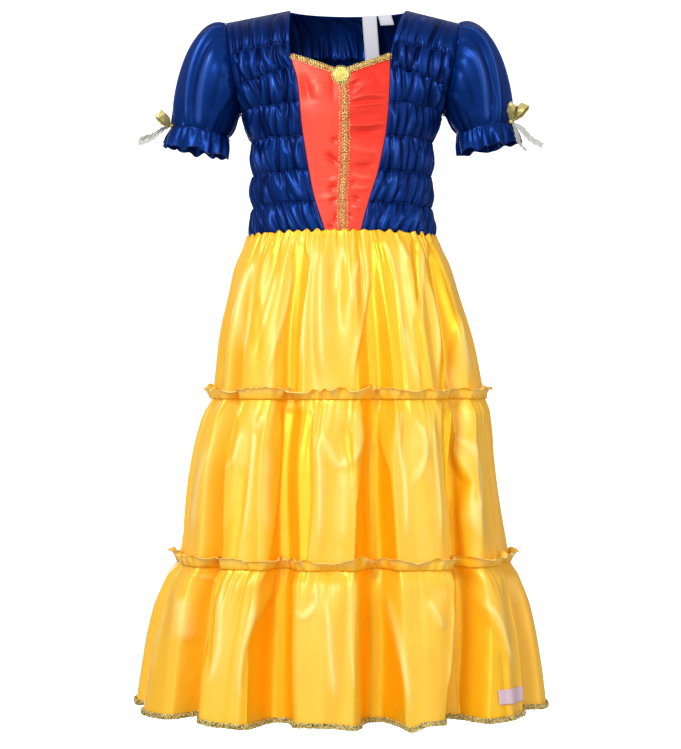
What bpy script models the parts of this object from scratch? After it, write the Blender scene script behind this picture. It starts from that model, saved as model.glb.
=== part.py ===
"""A child's princess costume dress in satin, hollow and filled out as it is worn.

Metres, +Z up, front towards -Y, so that the wearer's right side is at -X. The origin is the middle of
the shoulder line, where the wearer's shoulders hold the dress up. Every cloth piece is a thin closed wall.
"""

import math
from collections import namedtuple

import bmesh
import bpy
from mathutils import Vector

# Cloth thicknesses, and the gaps left at each seam and under what is sewn on a folded panel
SATIN = 0.0015
SHIRRED_SATIN = 0.002
FRILL_CLOTH = 0.0012
BRAID = 0.0012
RIBBON = 0.001
LABEL_CLOTH = 0.001
SEAM_GAP = 0.0003
TRIM_GAP = 0.0008
SLEEVE_GAP = 0.0006
UNDERARM_EASE = 0.0006

# Heights of the seams, down from the shoulder line
WAIST_Z = -0.279
WAIST_DIP = 0.004
FIRST_RUFFLE_Z = -0.482
SECOND_RUFFLE_Z = -0.684
HEM_Z = -0.866
HEM_BRAID_HEIGHT = 0.0060
HEM_BRAID_DROP = 0.0010

# Skirt outline: its half width and half depth over the ridges of its folds, how far it swings towards the
# wearer's left, and how deep the folds are there as a share of their depth at the hem
SkirtSection = namedtuple("SkirtSection", "z half_width half_depth swing fold_share")
SKIRT = (
    SkirtSection(-0.279, 0.1145, 0.0775, 0.0000, 0.00),
    SkirtSection(-0.289, 0.1210, 0.0840, 0.0005, 0.02),
    SkirtSection(-0.312, 0.1305, 0.0930, 0.0015, 0.08),
    SkirtSection(-0.348, 0.1410, 0.1020, 0.0025, 0.18),
    SkirtSection(-0.400, 0.1545, 0.1140, 0.0040, 0.30),
    SkirtSection(-0.482, 0.1680, 0.1260, 0.0060, 0.45),
    SkirtSection(-0.500, 0.1770, 0.1320, 0.0055, 0.50),
    SkirtSection(-0.560, 0.1875, 0.1400, 0.0000, 0.60),
    SkirtSection(-0.684, 0.2060, 0.1510, 0.0010, 0.72),
    SkirtSection(-0.702, 0.2180, 0.1580, 0.0005, 0.76),
    SkirtSection(-0.770, 0.2375, 0.1650, -0.0010, 0.88),
    SkirtSection(-0.866, 0.2535, 0.1710, -0.0030, 1.00),
)
SKIRT_POWER = 2.45
QUARTER_STEPS = 180

# Hanging folds: the place of each trough at the first ruffle and at the hem, as a share of the way from the
# centre front (0) past the side seam (0.5) to the centre back (1), towards the wearer's left where it is
# positive, with its half width as such a share and its depth at the hem
Fold = namedtuple("Fold", "place_high place_hem half_width depth")
FOLDS = (
    Fold(-0.310, -0.270, 0.034, 0.040),
    Fold(-0.150, -0.113, 0.044, 0.047),
    Fold(0.075, 0.066, 0.046, 0.050),
    Fold(0.310, 0.222, 0.042, 0.046),
    Fold(0.430, 0.385, 0.038, 0.024),
    Fold(0.560, 0.555, 0.040, 0.026),
    Fold(0.690, 0.680, 0.050, 0.044),
    Fold(0.825, 0.820, 0.044, 0.036),
    Fold(0.985, 0.965, 0.050, 0.047),
    Fold(-0.860, -0.870, 0.044, 0.034),
    Fold(-0.720, -0.715, 0.050, 0.045),
    Fold(-0.570, -0.580, 0.040, 0.026),
    Fold(-0.430, -0.430, 0.038, 0.022),
)

# Skirt grid: columns round the whole skirt, four to a gather, and the rows of each tier
SKIRT_COLUMNS = 104
COLUMNS_IN_A_GATHER = 4
TIER_ROWS = {
    "tier_1": (WAIST_Z, -0.290, -0.318, -0.390, FIRST_RUFFLE_Z),
    "tier_2": (FIRST_RUFFLE_Z, -0.500, -0.570, SECOND_RUFFLE_Z),
    "tier_3": (SECOND_RUFFLE_Z, -0.702, -0.775, HEM_Z + HEM_BRAID_HEIGHT, HEM_Z),
}
GATHER_HEIGHT = 0.0024
GATHER_FADE = 0.030

# A ruffle's rows: height over the seam, how far it leans out, and how much it waves there
RuffleRow = namedtuple("RuffleRow", "rise lean wave")
RUFFLE = (
    RuffleRow(0.0006, 0.0006, 0.0000),
    RuffleRow(0.0080, 0.0052, 0.0020),
    RuffleRow(0.0165, 0.0075, 0.0042),
)
RUFFLE_WAVES = 20
RUFFLE_RIPPLE = 0.0025

# The bare label above the hem braid
HEM_LABEL_PLACES = (0.285, 0.375)
HEM_LABEL_LOW = 0.014
HEM_LABEL_HEIGHT = 0.0175

# Bodice outline, measured to the inside of the cloth; over the armholes only the depth is used
BodySection = namedtuple("BodySection", "z half_width half_depth")
BODY = (
    BodySection(0.000, 0.0700, 0.0420),
    BodySection(-0.016, 0.1450, 0.0520),
    BodySection(-0.048, 0.1600, 0.0650),
    BodySection(-0.078, 0.1600, 0.0740),
    BodySection(-0.130, 0.1230, 0.0790),
    BodySection(-0.162, 0.1110, 0.0775),
    BodySection(-0.204, 0.1085, 0.0750),
    BodySection(-0.243, 0.1085, 0.0735),
    BodySection(-0.284, 0.1125, 0.0740),
)
SECTION_POWER = 2.3

# Armhole: an oval that leans inwards towards the underarm
ARMHOLE_Z = -0.076
ARMHOLE_HALF_HEIGHT = 0.054
ARMHOLE_HALF_DEPTH = 0.046
ARMHOLE_X = 0.134
ARMHOLE_LEAN = 0.011

# Inner edge of each blue front, from the waist to the neck: distance from the centre line on each side
FrontEdge = namedtuple("FrontEdge", "z right left")
FRONT_EDGE = (
    FrontEdge(0.000, 0.0640, 0.0800),
    FrontEdge(-0.030, 0.0645, 0.0670),
    FrontEdge(-0.063, 0.0630, 0.0590),
    FrontEdge(-0.095, 0.0545, 0.0580),
    FrontEdge(-0.151, 0.0485, 0.0540),
    FrontEdge(-0.205, 0.0400, 0.0435),
    FrontEdge(-0.239, 0.0330, 0.0330),
    FrontEdge(-0.284, 0.0180, 0.0205),
)

# Rows of elastic shirring, each at its height by the centre and at the side, and how far the cloth
# between it and the next row up puffs out
Shirring = namedtuple("Shirring", "z_centre z_side puff")
SHIRRING = (
    Shirring(-0.279, -0.283, 0.0052),
    Shirring(-0.243, -0.246, 0.0056),
    Shirring(-0.204, -0.206, 0.0058),
    Shirring(-0.162, -0.164, 0.0058),
    Shirring(-0.121, -0.130, 0.0052),
    Shirring(-0.078, -0.101, 0.0045),
    Shirring(-0.048, -0.060, 0.0035),
)
SHOULDER_TIP_Z = -0.016
SHIRRED_LINE_RELIEF = 0.0004
PUFF_FLOOR = 0.40
FRONT_GATHERS = 7
BACK_GATHERS = 12
BACK_NECK_DEPTH = 0.043
BACK_NECK_SHARE = 0.30

# Bare labels sewn into the back of the neck: where each starts and ends on the straight stretch of the
# neck edge at the wearer's left of the centre back, its length, and how far its free end swings sideways
NeckLabel = namedtuple("NeckLabel", "name start end length swing")
NECK_LABELS = (
    NeckLabel("neck_label_long", 0.31, 0.64, 0.062, 0.004),
    NeckLabel("neck_label_short", 0.67, 0.98, 0.012, 0.003),
)
LABEL_BELOW_EDGE = 0.0004

# Red centre front: how far its top edge dips to a point, and its columns
NECK_POINT_DROP = 0.021
INSERT_COLUMNS = 12
NECK_BRAID_WIDTH = 0.008
CENTRE_BRAID_HALF_WIDTH = 0.0055
CENTRE_BRAID_TOP_Z = -0.096
ROSETTE_Z = -0.0875

# Sleeves: the puff ends at an elastic ring, and the cloth past it is a frill
SleeveSize = namedtuple("SleeveSize", "name cuff_x cuff_z head_out head_up")
SLEEVES = {
    -1: SleeveSize("sleeve_right", 0.1765, -0.1505, 0.034, 0.014),
    1: SleeveSize("sleeve_left", 0.1785, -0.1460, 0.036, 0.016),
}
CUFF_RADIUS = 0.0360
FRILL_LENGTH = 0.0250
FRILL_RADIUS = 0.0405
ARM_TILT = math.radians(11)
PUFF_FORWARD = 0.026
PUFF_DROP = 0.068
PUFF_OVERHANG = 0.010
UNDERARM_SHARE = 0.16
SleeveRow = namedtuple("SleeveRow", "share gather")
SLEEVE_ROWS = (
    SleeveRow(0.10, 0.0020),
    SleeveRow(0.26, 0.0024),
    SleeveRow(0.46, 0.0008),
    SleeveRow(0.66, 0.0004),
    SleeveRow(0.86, 0.0018),
    SleeveRow(1.00, 0.0008),
)
FRILL_WAVE = 0.0030

# Ribbon bows on the outer side of each cuff: how far forward round the arm the knot sits, how far it
# stands off the elastic's radius there, and the way that each loop and end leaves it
BOW_RIBBON_WIDTH = 0.011
BOW_LOOP_LENGTH = 0.026
BOW_LOOP_FULLNESS = 0.0045
BOW_TAIL_LENGTH = 0.043
BOW_TAIL_BEND = 0.004
BOW_PINCH = 0.22
BOW_SPREAD_LENGTH = 0.014
BOW_KNOT = 0.007
RibbonPart = namedtuple("RibbonPart", "name loop out along up")
Bow = namedtuple("Bow", "name turn seat parts")
BOWS = {
    -1: Bow("bow_right", math.radians(20), -0.0004, (
        RibbonPart("loop_front", True, 0.80, 0.52, 0.35),
        RibbonPart("loop_back", True, 0.35, -0.85, 0.35),
        RibbonPart("end_front", False, 0.80, 0.35, -0.62),
        RibbonPart("end_back", False, 0.62, -0.65, -0.70),
    )),
    1: Bow("bow_left", math.radians(38), 0.0011, (
        RibbonPart("loop_front", True, 0.55, 0.50, 0.62),
        RibbonPart("loop_back", True, 0.50, -0.62, 0.62),
        RibbonPart("end_front", False, 0.34, 0.30, -0.92),
        RibbonPart("end_back", False, 0.45, -0.42, -0.82),
    )),
}

BLUE_SATIN = ("blue_satin", (0.012, 0.035, 0.200), 0.35, 0.0)
RED_SATIN = ("red_satin", (0.800, 0.040, 0.020), 0.35, 0.0)
YELLOW_SATIN = ("yellow_satin", (0.960, 0.540, 0.030), 0.35, 0.0)
GOLD_BRAID = ("gold_braid", (0.680, 0.460, 0.120), 0.40, 0.6)
GOLD_RIBBON = ("gold_ribbon", (0.700, 0.620, 0.280), 0.35, 0.4)
LABEL_SATIN = ("white_label", (0.850, 0.830, 0.830), 0.50, 0.0)


def between(a, b, share):
    """The point or number that is this share of the way from a to b."""
    return a + (b - a) * share


def smooth(rows, z, column):
    """A column of a table at height z, on a smooth curve through its rows, which run downwards."""
    xs = [row.z for row in reversed(rows)]
    ys = [getattr(row, column) for row in reversed(rows)]
    z = min(max(z, xs[0]), xs[-1])
    i = max(k for k in range(len(xs) - 1) if xs[k] <= z)
    slopes = []
    for k in (i, i + 1):
        low, high = max(k - 1, 0), min(k + 1, len(xs) - 1)
        slopes.append((ys[high] - ys[low]) / (xs[high] - xs[low]))
    span = xs[i + 1] - xs[i]
    t = (z - xs[i]) / span
    rising = t * t * (3 - 2 * t)
    return (
        between(ys[i], ys[i + 1], rising)
        + span * slopes[0] * t * (1 - t) ** 2
        - span * slopes[1] * t * t * (1 - t)
    )


def clear_scene():
    """Removes whatever the scene holds."""
    for obj in list(bpy.data.objects):
        bpy.data.objects.remove(obj, do_unlink=True)


def material(finish):
    """The Principled material of a finish, made once."""
    name, colour, roughness, metallic = finish
    made = bpy.data.materials.get(name) or bpy.data.materials.new(name)
    made.use_nodes = True
    shader = made.node_tree.nodes["Principled BSDF"]
    shader.inputs["Base Color"].default_value = (*colour, 1.0)
    shader.inputs["Roughness"].default_value = roughness
    shader.inputs["Metallic"].default_value = metallic
    made.diffuse_color = (*colour, 1.0)
    return made


def put(name, bm, finish):
    """Adds the finished mesh to the scene as one named piece with its faces pointing out."""
    bmesh.ops.recalc_face_normals(bm, faces=bm.faces)
    mesh = bpy.data.meshes.new(name)
    bm.to_mesh(mesh)
    bm.free()
    mesh.materials.append(material(finish))
    mesh.shade_smooth()
    mesh.set_sharp_from_angle(angle=math.radians(50))
    obj = bpy.data.objects.new(name, mesh)
    bpy.context.scene.collection.objects.link(obj)
    return obj


def skin(bm, grid, closed):
    """Two triangles for each cell of a grid of vertices."""
    columns = len(grid[0])
    for low, high in zip(grid, grid[1:]):
        for c in range(columns if closed else columns - 1):
            d = (c + 1) % columns
            bm.faces.new((low[c], low[d], high[d]))
            bm.faces.new((low[c], high[d], high[c]))


def rim(bm, fine, coarse, closed):
    """Joins two edges of a wall, where each stretch of the coarse one faces several of the fine one."""
    stretches = len(coarse) if closed else len(coarse) - 1
    step = (len(fine) if closed else len(fine) - 1) // stretches
    half = (step + 1) // 2
    for k in range(stretches):
        near, far = coarse[k], coarse[(k + 1) % len(coarse)]
        for j in range(step):
            first = fine[k * step + j]
            second = fine[(k * step + j + 1) % len(fine)]
            bm.faces.new((first, second, near if j < half else far))
        bm.faces.new((near, far, fine[(k * step + half) % len(fine)]))


def wall(name, outer, inner, finish, closed=False):
    """A closed thin solid between an outer and an inner grid of points, given as rows of columns."""
    bm = bmesh.new()
    outside = [[bm.verts.new(point) for point in row] for row in outer]
    inside = [[bm.verts.new(point) for point in row] for row in inner]
    skin(bm, outside, closed)
    skin(bm, inside, closed)
    for end in (0, -1):
        rim(bm, outside[end], inside[end], closed)
        if not closed:
            rim(bm, [row[end] for row in outside], [row[end] for row in inside], False)
    return put(name, bm, finish)


def grid_normals(grid, closed=False):
    """The unit normal at each point of a grid, on the side that its rows and columns face."""
    columns = len(grid[0])
    normals = []
    for r, row in enumerate(grid):
        above, below = grid[min(r + 1, len(grid) - 1)], grid[max(r - 1, 0)]
        line = []
        for c in range(columns):
            after = (c + 1) % columns if closed else min(c + 1, columns - 1)
            before = (c - 1) % columns if closed else max(c - 1, 0)
            across = row[after] - row[before]
            line.append(across.cross(above[c] - below[c]).normalized())
        normals.append(line)
    return normals


def moved(grid, normals, distance):
    """A grid moved along its normals by one distance."""
    return [
        [point + normal * distance for point, normal in zip(row, line)]
        for row, line in zip(grid, normals)
    ]


def waist_z(x):
    """Height of the waist seam, which dips a little towards the sides."""
    return WAIST_Z - WAIST_DIP * (x / BODY[-1].half_width) ** 2


# The skirt


def fold_depth(place, z):
    """How far the cloth lies inside the ridges at a place round the skirt, for the hanging folds alone."""
    share = smooth(SKIRT, z, "fold_share")
    drop = min(max((FIRST_RUFFLE_Z - z) / (FIRST_RUFFLE_Z - HEM_Z), 0.0), 1.0)
    depth = 0.0
    for fold in FOLDS:
        centre = between(fold.place_high, fold.place_hem, drop)
        off = abs((place - centre + 1) % 2 - 1) / fold.half_width
        if off < 1:
            depth += fold.depth * share * 0.5 * (1 + math.cos(math.pi * off))
    return depth


def quarter_round(half_width, half_depth, stations):
    """Points (across, forward) on a quarter of a rounded oval, evenly spaced from its front to its side."""
    fine = []
    for k in range(QUARTER_STEPS + 1):
        turn = math.pi / 2 * k / QUARTER_STEPS
        across, forward = math.sin(turn), math.cos(turn)
        power = (across / half_width) ** SKIRT_POWER + (forward / half_depth) ** SKIRT_POWER
        reach = power ** (-1 / SKIRT_POWER)
        fine.append(Vector((across * reach, forward * reach)))
    lengths = [0.0]
    for a, b in zip(fine, fine[1:]):
        lengths.append(lengths[-1] + (b - a).length)
    points, k = [], 0
    for station in range(stations + 1):
        wanted = lengths[-1] * station / stations
        while k < QUARTER_STEPS - 1 and lengths[k + 1] < wanted:
            k += 1
        share = (wanted - lengths[k]) / (lengths[k + 1] - lengths[k])
        points.append(between(fine[k], fine[k + 1], share))
    return points


def gather(column, z, top):
    """Height of the small gathers below a seam, which fade out downwards."""
    wave = math.cos(2 * math.pi * column / COLUMNS_IN_A_GATHER)
    return GATHER_HEIGHT * wave * math.exp((z - top) / GATHER_FADE)


def skirt_ring(z, top):
    """The outer points of the skirt at height z, round from the centre back, below the seam at top."""
    quarter = SKIRT_COLUMNS // 4
    oval = quarter_round(smooth(SKIRT, z, "half_width"), smooth(SKIRT, z, "half_depth"), quarter)
    swing = smooth(SKIRT, z, "swing")
    smooth_ring = []
    for column in range(SKIRT_COLUMNS):
        station = column - 2 * quarter
        side = 1 if station >= 0 else -1
        front = abs(station) <= quarter
        across, forward = oval[abs(station) if front else 2 * quarter - abs(station)]
        smooth_ring.append(Vector((swing + side * across, -forward if front else forward, z)))
    points = []
    for column, (place, out) in enumerate(zip(smooth_ring, ring_normals(smooth_ring))):
        share = 2 * column / SKIRT_COLUMNS - 1
        point = place + out * (gather(column, z, top) - fold_depth(share, z))
        if z == WAIST_Z:
            point.z = waist_z(point.x)
        points.append(point)
    return points


def ring_normals(ring):
    """The level outward normal at each point of a ring."""
    return [
        Vector((after.y - before.y, before.x - after.x, 0)).normalized()
        for before, after in zip(ring[-1:] + ring[:-1], ring[1:] + ring[:1])
    ]


def half_of_ring(ring, part):
    """The front or back half of a ring, from side seam to side seam, kept clear of the other half."""
    quarter = SKIRT_COLUMNS // 4
    start, sign = (quarter, -1) if part == "front" else (3 * quarter, 1)
    points = [ring[(start + k) % SKIRT_COLUMNS].copy() for k in range(2 * quarter + 1)]
    for end in (points[0], points[-1]):
        end.y += sign * SEAM_GAP / 2
    return points


def make_tier(name):
    """One skirt tier as a front and a back panel. Returns its rings of outer points."""
    heights = TIER_ROWS[name]
    rings = [skirt_ring(z, heights[0]) for z in heights]
    for point in rings[0]:
        point.z -= SEAM_GAP
    inner = [
        [point - normal * SATIN for point, normal in zip(ring, ring_normals(ring))]
        for ring in rings
    ]
    for part in ("front", "back"):
        wall(
            f"skirt_{name}_{part}",
            [half_of_ring(ring, part) for ring in rings],
            [half_of_ring(ring, part) for ring in inner],
            YELLOW_SATIN,
        )
    return rings


def make_ruffle(name, base, seam_z):
    """A frill that stands up from the lower edge of a tier, outside it."""
    normals = ring_normals(base)
    outer, inner = [], []
    for row in RUFFLE:
        line_out, line_in = [], []
        for column, (point, normal) in enumerate(zip(base, normals)):
            turn = 2 * math.pi * column / SKIRT_COLUMNS
            wave = math.sin(RUFFLE_WAVES * turn + 1.3 * math.sin(3 * turn + seam_z))
            place = point + normal * (row.lean + row.wave * wave)
            lift = RUFFLE_RIPPLE * math.sin(7 * turn) if row is RUFFLE[-1] else 0.0
            place.z = seam_z + row.rise + lift
            line_in.append(place)
            line_out.append(place + normal * FRILL_CLOTH)
        outer.append(line_out)
        inner.append(line_in)
    wall(name, outer, inner, YELLOW_SATIN, closed=True)


def make_hem_braid(rings):
    """Gold braid round the outside of the hem, made from the last two rings of the bottom tier."""
    bottom = [point - Vector((0, 0, HEM_BRAID_DROP)) for point in rings[-1]]
    inner, outer = [], []
    for ring in (rings[-2], bottom):
        normals = ring_normals(ring)
        inner.append([p + n * TRIM_GAP for p, n in zip(ring, normals)])
        outer.append([p + n * (TRIM_GAP + BRAID) for p, n in zip(ring, normals)])
    wall("hem_braid", outer, inner, GOLD_BRAID, closed=True)


def make_hem_label(rings):
    """A plain woven label on the bottom tier, at the wearer's left."""
    above, hem = rings[-3], rings[-2]
    height = above[0].z - hem[0].z
    first, last = (round((1 + place) / 2 * SKIRT_COLUMNS) for place in HEM_LABEL_PLACES)
    inner, outer = [], []
    for rise in (HEM_LABEL_LOW + HEM_LABEL_HEIGHT, HEM_LABEL_LOW):
        ring = [between(low, high, rise / height) for low, high in zip(hem, above)]
        normals = ring_normals(ring)
        chosen = range(first, last + 1)
        inner.append([ring[c] + normals[c] * TRIM_GAP for c in chosen])
        outer.append([ring[c] + normals[c] * (TRIM_GAP + LABEL_CLOTH) for c in chosen])
    wall("hem_label", outer, inner, LABEL_SATIN)


# The bodice


def edge_x(side, z):
    """Distance of a blue front's inner edge from the centre line, on the side at -X or at +X."""
    return smooth(FRONT_EDGE, z, "right" if side < 0 else "left")


def armhole(z):
    """Distance of the armhole's edge from the centre line and from the side seam's plane, at height z."""
    rise = min(max((z - ARMHOLE_Z) / ARMHOLE_HALF_HEIGHT, -1.0), 1.0)
    return ARMHOLE_X + ARMHOLE_LEAN * rise, ARMHOLE_HALF_DEPTH * math.sqrt(1 - rise * rise)


def section(side, z):
    """Half width and half depth of the body at height z, which runs through the armhole's edge beside it."""
    depth = smooth(BODY, z, "half_depth")
    if z <= ARMHOLE_Z - ARMHOLE_HALF_HEIGHT:
        return smooth(BODY, z, "half_width"), depth
    if z <= SHOULDER_TIP_Z:
        x, y = armhole(z)
        return x / (1 - (y / depth) ** SECTION_POWER) ** (1 / SECTION_POWER), depth
    tip = armhole(SHOULDER_TIP_Z)[0]
    return between(edge_x(side, 0.0), tip, z / SHOULDER_TIP_Z), depth


def section_angle(side, x, z):
    """The angle from the centre front at which a section reaches a distance x from the centre line."""
    return math.asin(min(1.0, (x / section(side, z)[0]) ** (SECTION_POWER / 2)))


def section_point(side, angle, z, facing):
    """A point of the section at height z: facing is -1 on the front and 1 on the back."""
    half_width, half_depth = section(side, z)
    x = half_width * math.sin(angle) ** (2 / SECTION_POWER)
    y = half_depth * max(0.0, math.cos(angle)) ** (2 / SECTION_POWER)
    return Vector((side * x, facing * y, z))


def side_angle(side, z):
    """The angle at which a panel ends: at the side seam, or at the armhole above it."""
    if z <= ARMHOLE_Z - ARMHOLE_HALF_HEIGHT:
        return math.pi / 2
    return section_angle(side, armhole(z)[0], z)


def shirring_rows():
    """(height by the centre, height at the side, puff) of each row line and of the middle of each puff."""
    rows = []
    for low, high in zip(SHIRRING, SHIRRING[1:]):
        rows.append((low.z_centre, low.z_side, 0.0))
        middle = (low.z_centre + high.z_centre) / 2, (low.z_side + high.z_side) / 2
        rows.append((*middle, low.puff))
    rows.append((SHIRRING[-1].z_centre, SHIRRING[-1].z_side, 0.0))
    return rows


def over_the_shoulder(row, top):
    """The row half way from the last shirring to the shoulder seam, rounded over as on a shoulder."""
    middle = []
    for low, high in zip(row, top):
        corner = Vector(
            ((low.x + high.x) / 2, low.y * 0.94, between(low.z, high.z, 0.72))
        )
        middle.append(low * 0.25 + corner * 0.5 + high * 0.25)
    return middle


def front_grid(side):
    """Inside points of a blue front, from the waist up, each row from its inner edge to the side."""
    columns = FRONT_GATHERS * COLUMNS_IN_A_GATHER
    grid = []
    for z_centre, z_side, _ in shirring_rows():
        start = section_angle(side, edge_x(side, z_centre), z_centre)
        end = side_angle(side, z_side)
        row = []
        for c in range(columns + 1):
            share = c / columns
            z = between(z_centre, z_side, share)
            row.append(section_point(side, between(start, end, share), z, -1))
        grid.append(row)
    tip = armhole(SHOULDER_TIP_Z)[0]
    top = [
        Vector(
            (
                side * between(edge_x(side, 0.0), tip, c / columns),
                0.0,
                between(0.0, SHOULDER_TIP_Z, c / columns),
            )
        )
        for c in range(columns + 1)
    ]
    return grid + [over_the_shoulder(grid[-1], top), top]


def back_top_row(columns):
    """The back's top edge: along one shoulder, round the back of the neck and along the other."""
    tip = armhole(SHOULDER_TIP_Z)[0]
    neck = {side: side * edge_x(side, 0.0) for side in (-1, 1)}
    row = []
    for c in range(columns + 1):
        u = 2 * c / columns - 1
        side = -1 if u < 0 else 1
        if abs(u) > BACK_NECK_SHARE:
            share = (abs(u) - BACK_NECK_SHARE) / (1 - BACK_NECK_SHARE)
            x, y = between(neck[side], side * tip, share), 0.0
            z = between(0.0, SHOULDER_TIP_Z, share)
        else:
            turn = u / BACK_NECK_SHARE * math.pi / 2
            middle = (neck[1] + neck[-1]) / 2
            x = middle + (neck[1] - middle) * math.sin(turn)
            y, z = BACK_NECK_DEPTH * math.cos(turn), 0.0
        row.append(Vector((x, y, z)))
    return row


def back_grid():
    """Inside points of the back, from the waist up, each row from the side at -X to the side at +X."""
    columns = BACK_GATHERS * COLUMNS_IN_A_GATHER
    grid = []
    for z_centre, z_side, _ in shirring_rows():
        row = []
        for c in range(columns + 1):
            u = 2 * c / columns - 1
            side = -1 if u < 0 else 1
            z = between(z_centre, z_side, abs(u))
            angle = side_angle(side, z_side) * abs(u)
            row.append(section_point(side, angle, z, 1))
        grid.append(row)
    top = back_top_row(columns)
    return grid + [over_the_shoulder(grid[-1], top), top]


def keep_clear_at_seams(grid, facing):
    """Moves a panel's side and shoulder seams half a gap off its neighbour's, and sets its waist."""
    below_armhole = 2 * [row.z_side for row in SHIRRING].index(-0.130) + 1
    for r, row in enumerate(grid):
        for end in {0, len(row) - 1}:
            if r < below_armhole and abs(row[end].y) < 0.01:
                row[end].y = facing * SEAM_GAP / 2
    for point in grid[-1]:
        if abs(point.y) < SEAM_GAP:
            point.y = facing * SEAM_GAP / 2
    for point in grid[0]:
        point.z = waist_z(point.x)
    return grid


def shirred_wall(name, grid, normals):
    """A shirred panel: plain inside, and gathered puffs between the rows of elastic outside."""
    puffs = [row[2] for row in shirring_rows()] + [SHIRRING[-1].puff, 0.0]
    last = len(grid[0]) - 1
    outer = []
    for row, line, puff in zip(grid, normals, puffs):
        points = []
        for c, (point, normal) in enumerate(zip(row, line)):
            wave = 0.5 - 0.5 * math.cos(2 * math.pi * c / COLUMNS_IN_A_GATHER)
            relief = puff * between(PUFF_FLOOR, 1.0, wave) or SHIRRED_LINE_RELIEF * wave
            if c in (0, last):
                relief = 0.0
            points.append(point + normal * (SHIRRED_SATIN + relief))
        outer.append(points)
    inner = [row[::COLUMNS_IN_A_GATHER] for row in grid]
    wall(name, outer, inner, BLUE_SATIN)
    return outer


def outward(normals, grid):
    """Turns a grid's normals to the outside, away from the body's own axis."""
    probe, normal = grid[0][len(grid[0]) // 2], normals[0][len(grid[0]) // 2]
    sign = 1 if normal.dot(Vector((probe.x, probe.y, 0))) > 0 else -1
    return [[n * sign for n in line] for line in normals]


def make_front(side):
    """A blue front. Returns its inside and outside points."""
    grid = keep_clear_at_seams(front_grid(side), -1)
    normals = outward(grid_normals(grid), grid)
    name = "bodice_front_right" if side < 0 else "bodice_front_left"
    return grid, shirred_wall(name, grid, normals)


def make_back():
    """The blue back. Returns its inside and outside points."""
    grid = keep_clear_at_seams(back_grid(), 1)
    normals = outward(grid_normals(grid), grid)
    return grid, shirred_wall("bodice_back", grid, normals)


def body_front(x, z):
    """The point of the body's front over a place x, z."""
    side = -1 if x < 0 else 1
    return section_point(side, section_angle(side, abs(x), z), z, -1)


def insert_point(share, z_edge, drop):
    """A point of the red front: share runs across it, and drop is how far its middle hangs below its edge."""
    left = -edge_x(-1, z_edge) + SEAM_GAP
    right = edge_x(1, z_edge) - SEAM_GAP
    x = between(left, right, share)
    z = z_edge - drop * (1 - abs(2 * share - 1)) if z_edge > WAIST_Z else waist_z(x)
    return body_front(x, z)


def insert_rows():
    """(height at the edges, drop at the middle) of each row of the red front, up to its neck edge."""
    heights = [row[0] for row in shirring_rows()][:-1]
    start = heights[len(heights) // 2]
    rows = []
    for z in heights:
        share = max(0.0, (z - start) / (heights[-1] - start))
        rows.append((z, NECK_POINT_DROP * share))
    return rows


def make_insert():
    """The red centre front. Returns its inside points and their normals."""
    grid = [
        [insert_point(c / INSERT_COLUMNS, z, drop) for c in range(INSERT_COLUMNS + 1)]
        for z, drop in insert_rows()
    ]
    normals = outward(grid_normals(grid), grid)
    wall("bodice_insert", moved(grid, normals, SHIRRED_SATIN), grid, RED_SATIN)
    return grid, normals


def make_neck_braid(grid, normals):
    """Gold braid along the pointed top edge of the red front."""
    low = [
        edge - (edge - below).normalized() * NECK_BRAID_WIDTH
        for edge, below in zip(grid[-1], grid[-2])
    ]
    strip = [low, grid[-1]]
    directions = [normals[-1], normals[-1]]
    near = moved(strip, directions, SHIRRED_SATIN + SEAM_GAP)
    far = moved(strip, directions, SHIRRED_SATIN + SEAM_GAP + BRAID)
    wall("neck_braid", far, near, GOLD_BRAID)


def make_centre_braid(grid, normals):
    """Gold braid down the middle of the red front, from under the rosette to the waist."""
    middle = INSERT_COLUMNS // 2
    near, far = [], []
    for row, line in zip(grid, normals):
        z = min(row[middle].z, CENTRE_BRAID_TOP_Z)
        lift = SHIRRED_SATIN + SEAM_GAP
        across = Vector((CENTRE_BRAID_HALF_WIDTH, 0, 0))
        centre = body_front(row[middle].x, z)
        near.append([centre + s * across + line[middle] * lift for s in (-1, 1)])
        far.append([centre + s * across + line[middle] * (lift + BRAID) for s in (-1, 1)])
        if z == CENTRE_BRAID_TOP_Z:
            break
    wall("centre_braid", far, near, GOLD_BRAID)


def make_rosette(grid, normals):
    """A rolled gold rose on the point of the neckline: rings of petals round a bud."""
    ring_table = namedtuple("Petals", "radius height lobe")
    petals = (
        ring_table(0.0085, 0.0000, 0.000),
        ring_table(0.0105, 0.0018, 0.050),
        ring_table(0.0098, 0.0038, 0.060),
        ring_table(0.0078, 0.0028, 0.000),
        ring_table(0.0072, 0.0050, 0.070),
        ring_table(0.0050, 0.0040, 0.000),
        ring_table(0.0042, 0.0062, 0.080),
        ring_table(0.0018, 0.0052, 0.000),
    )
    columns, lobes = 20, 5
    middle = INSERT_COLUMNS // 2
    normal = normals[-1][middle]
    x = grid[-1][middle].x
    base = body_front(x, ROSETTE_Z) + normal * (SHIRRED_SATIN + BRAID + 2.5 * SEAM_GAP)
    across = Vector((1, 0, 0))
    up = normal.cross(across).normalized()
    bm = bmesh.new()
    rings = []
    for k, petal in enumerate(petals):
        ring = []
        for c in range(columns):
            turn = 2 * math.pi * c / columns
            radius = petal.radius * (1 + petal.lobe * math.cos(lobes * turn + 2.1 * k))
            flat = across * math.cos(turn) + up * math.sin(turn)
            ring.append(bm.verts.new(base + flat * radius + normal * petal.height))
        rings.append(ring)
    skin(bm, rings, closed=True)
    bm.faces.new(rings[0])
    bm.faces.new(rings[-1])
    put("rosette", bm, GOLD_BRAID)


# The sleeves


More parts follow.
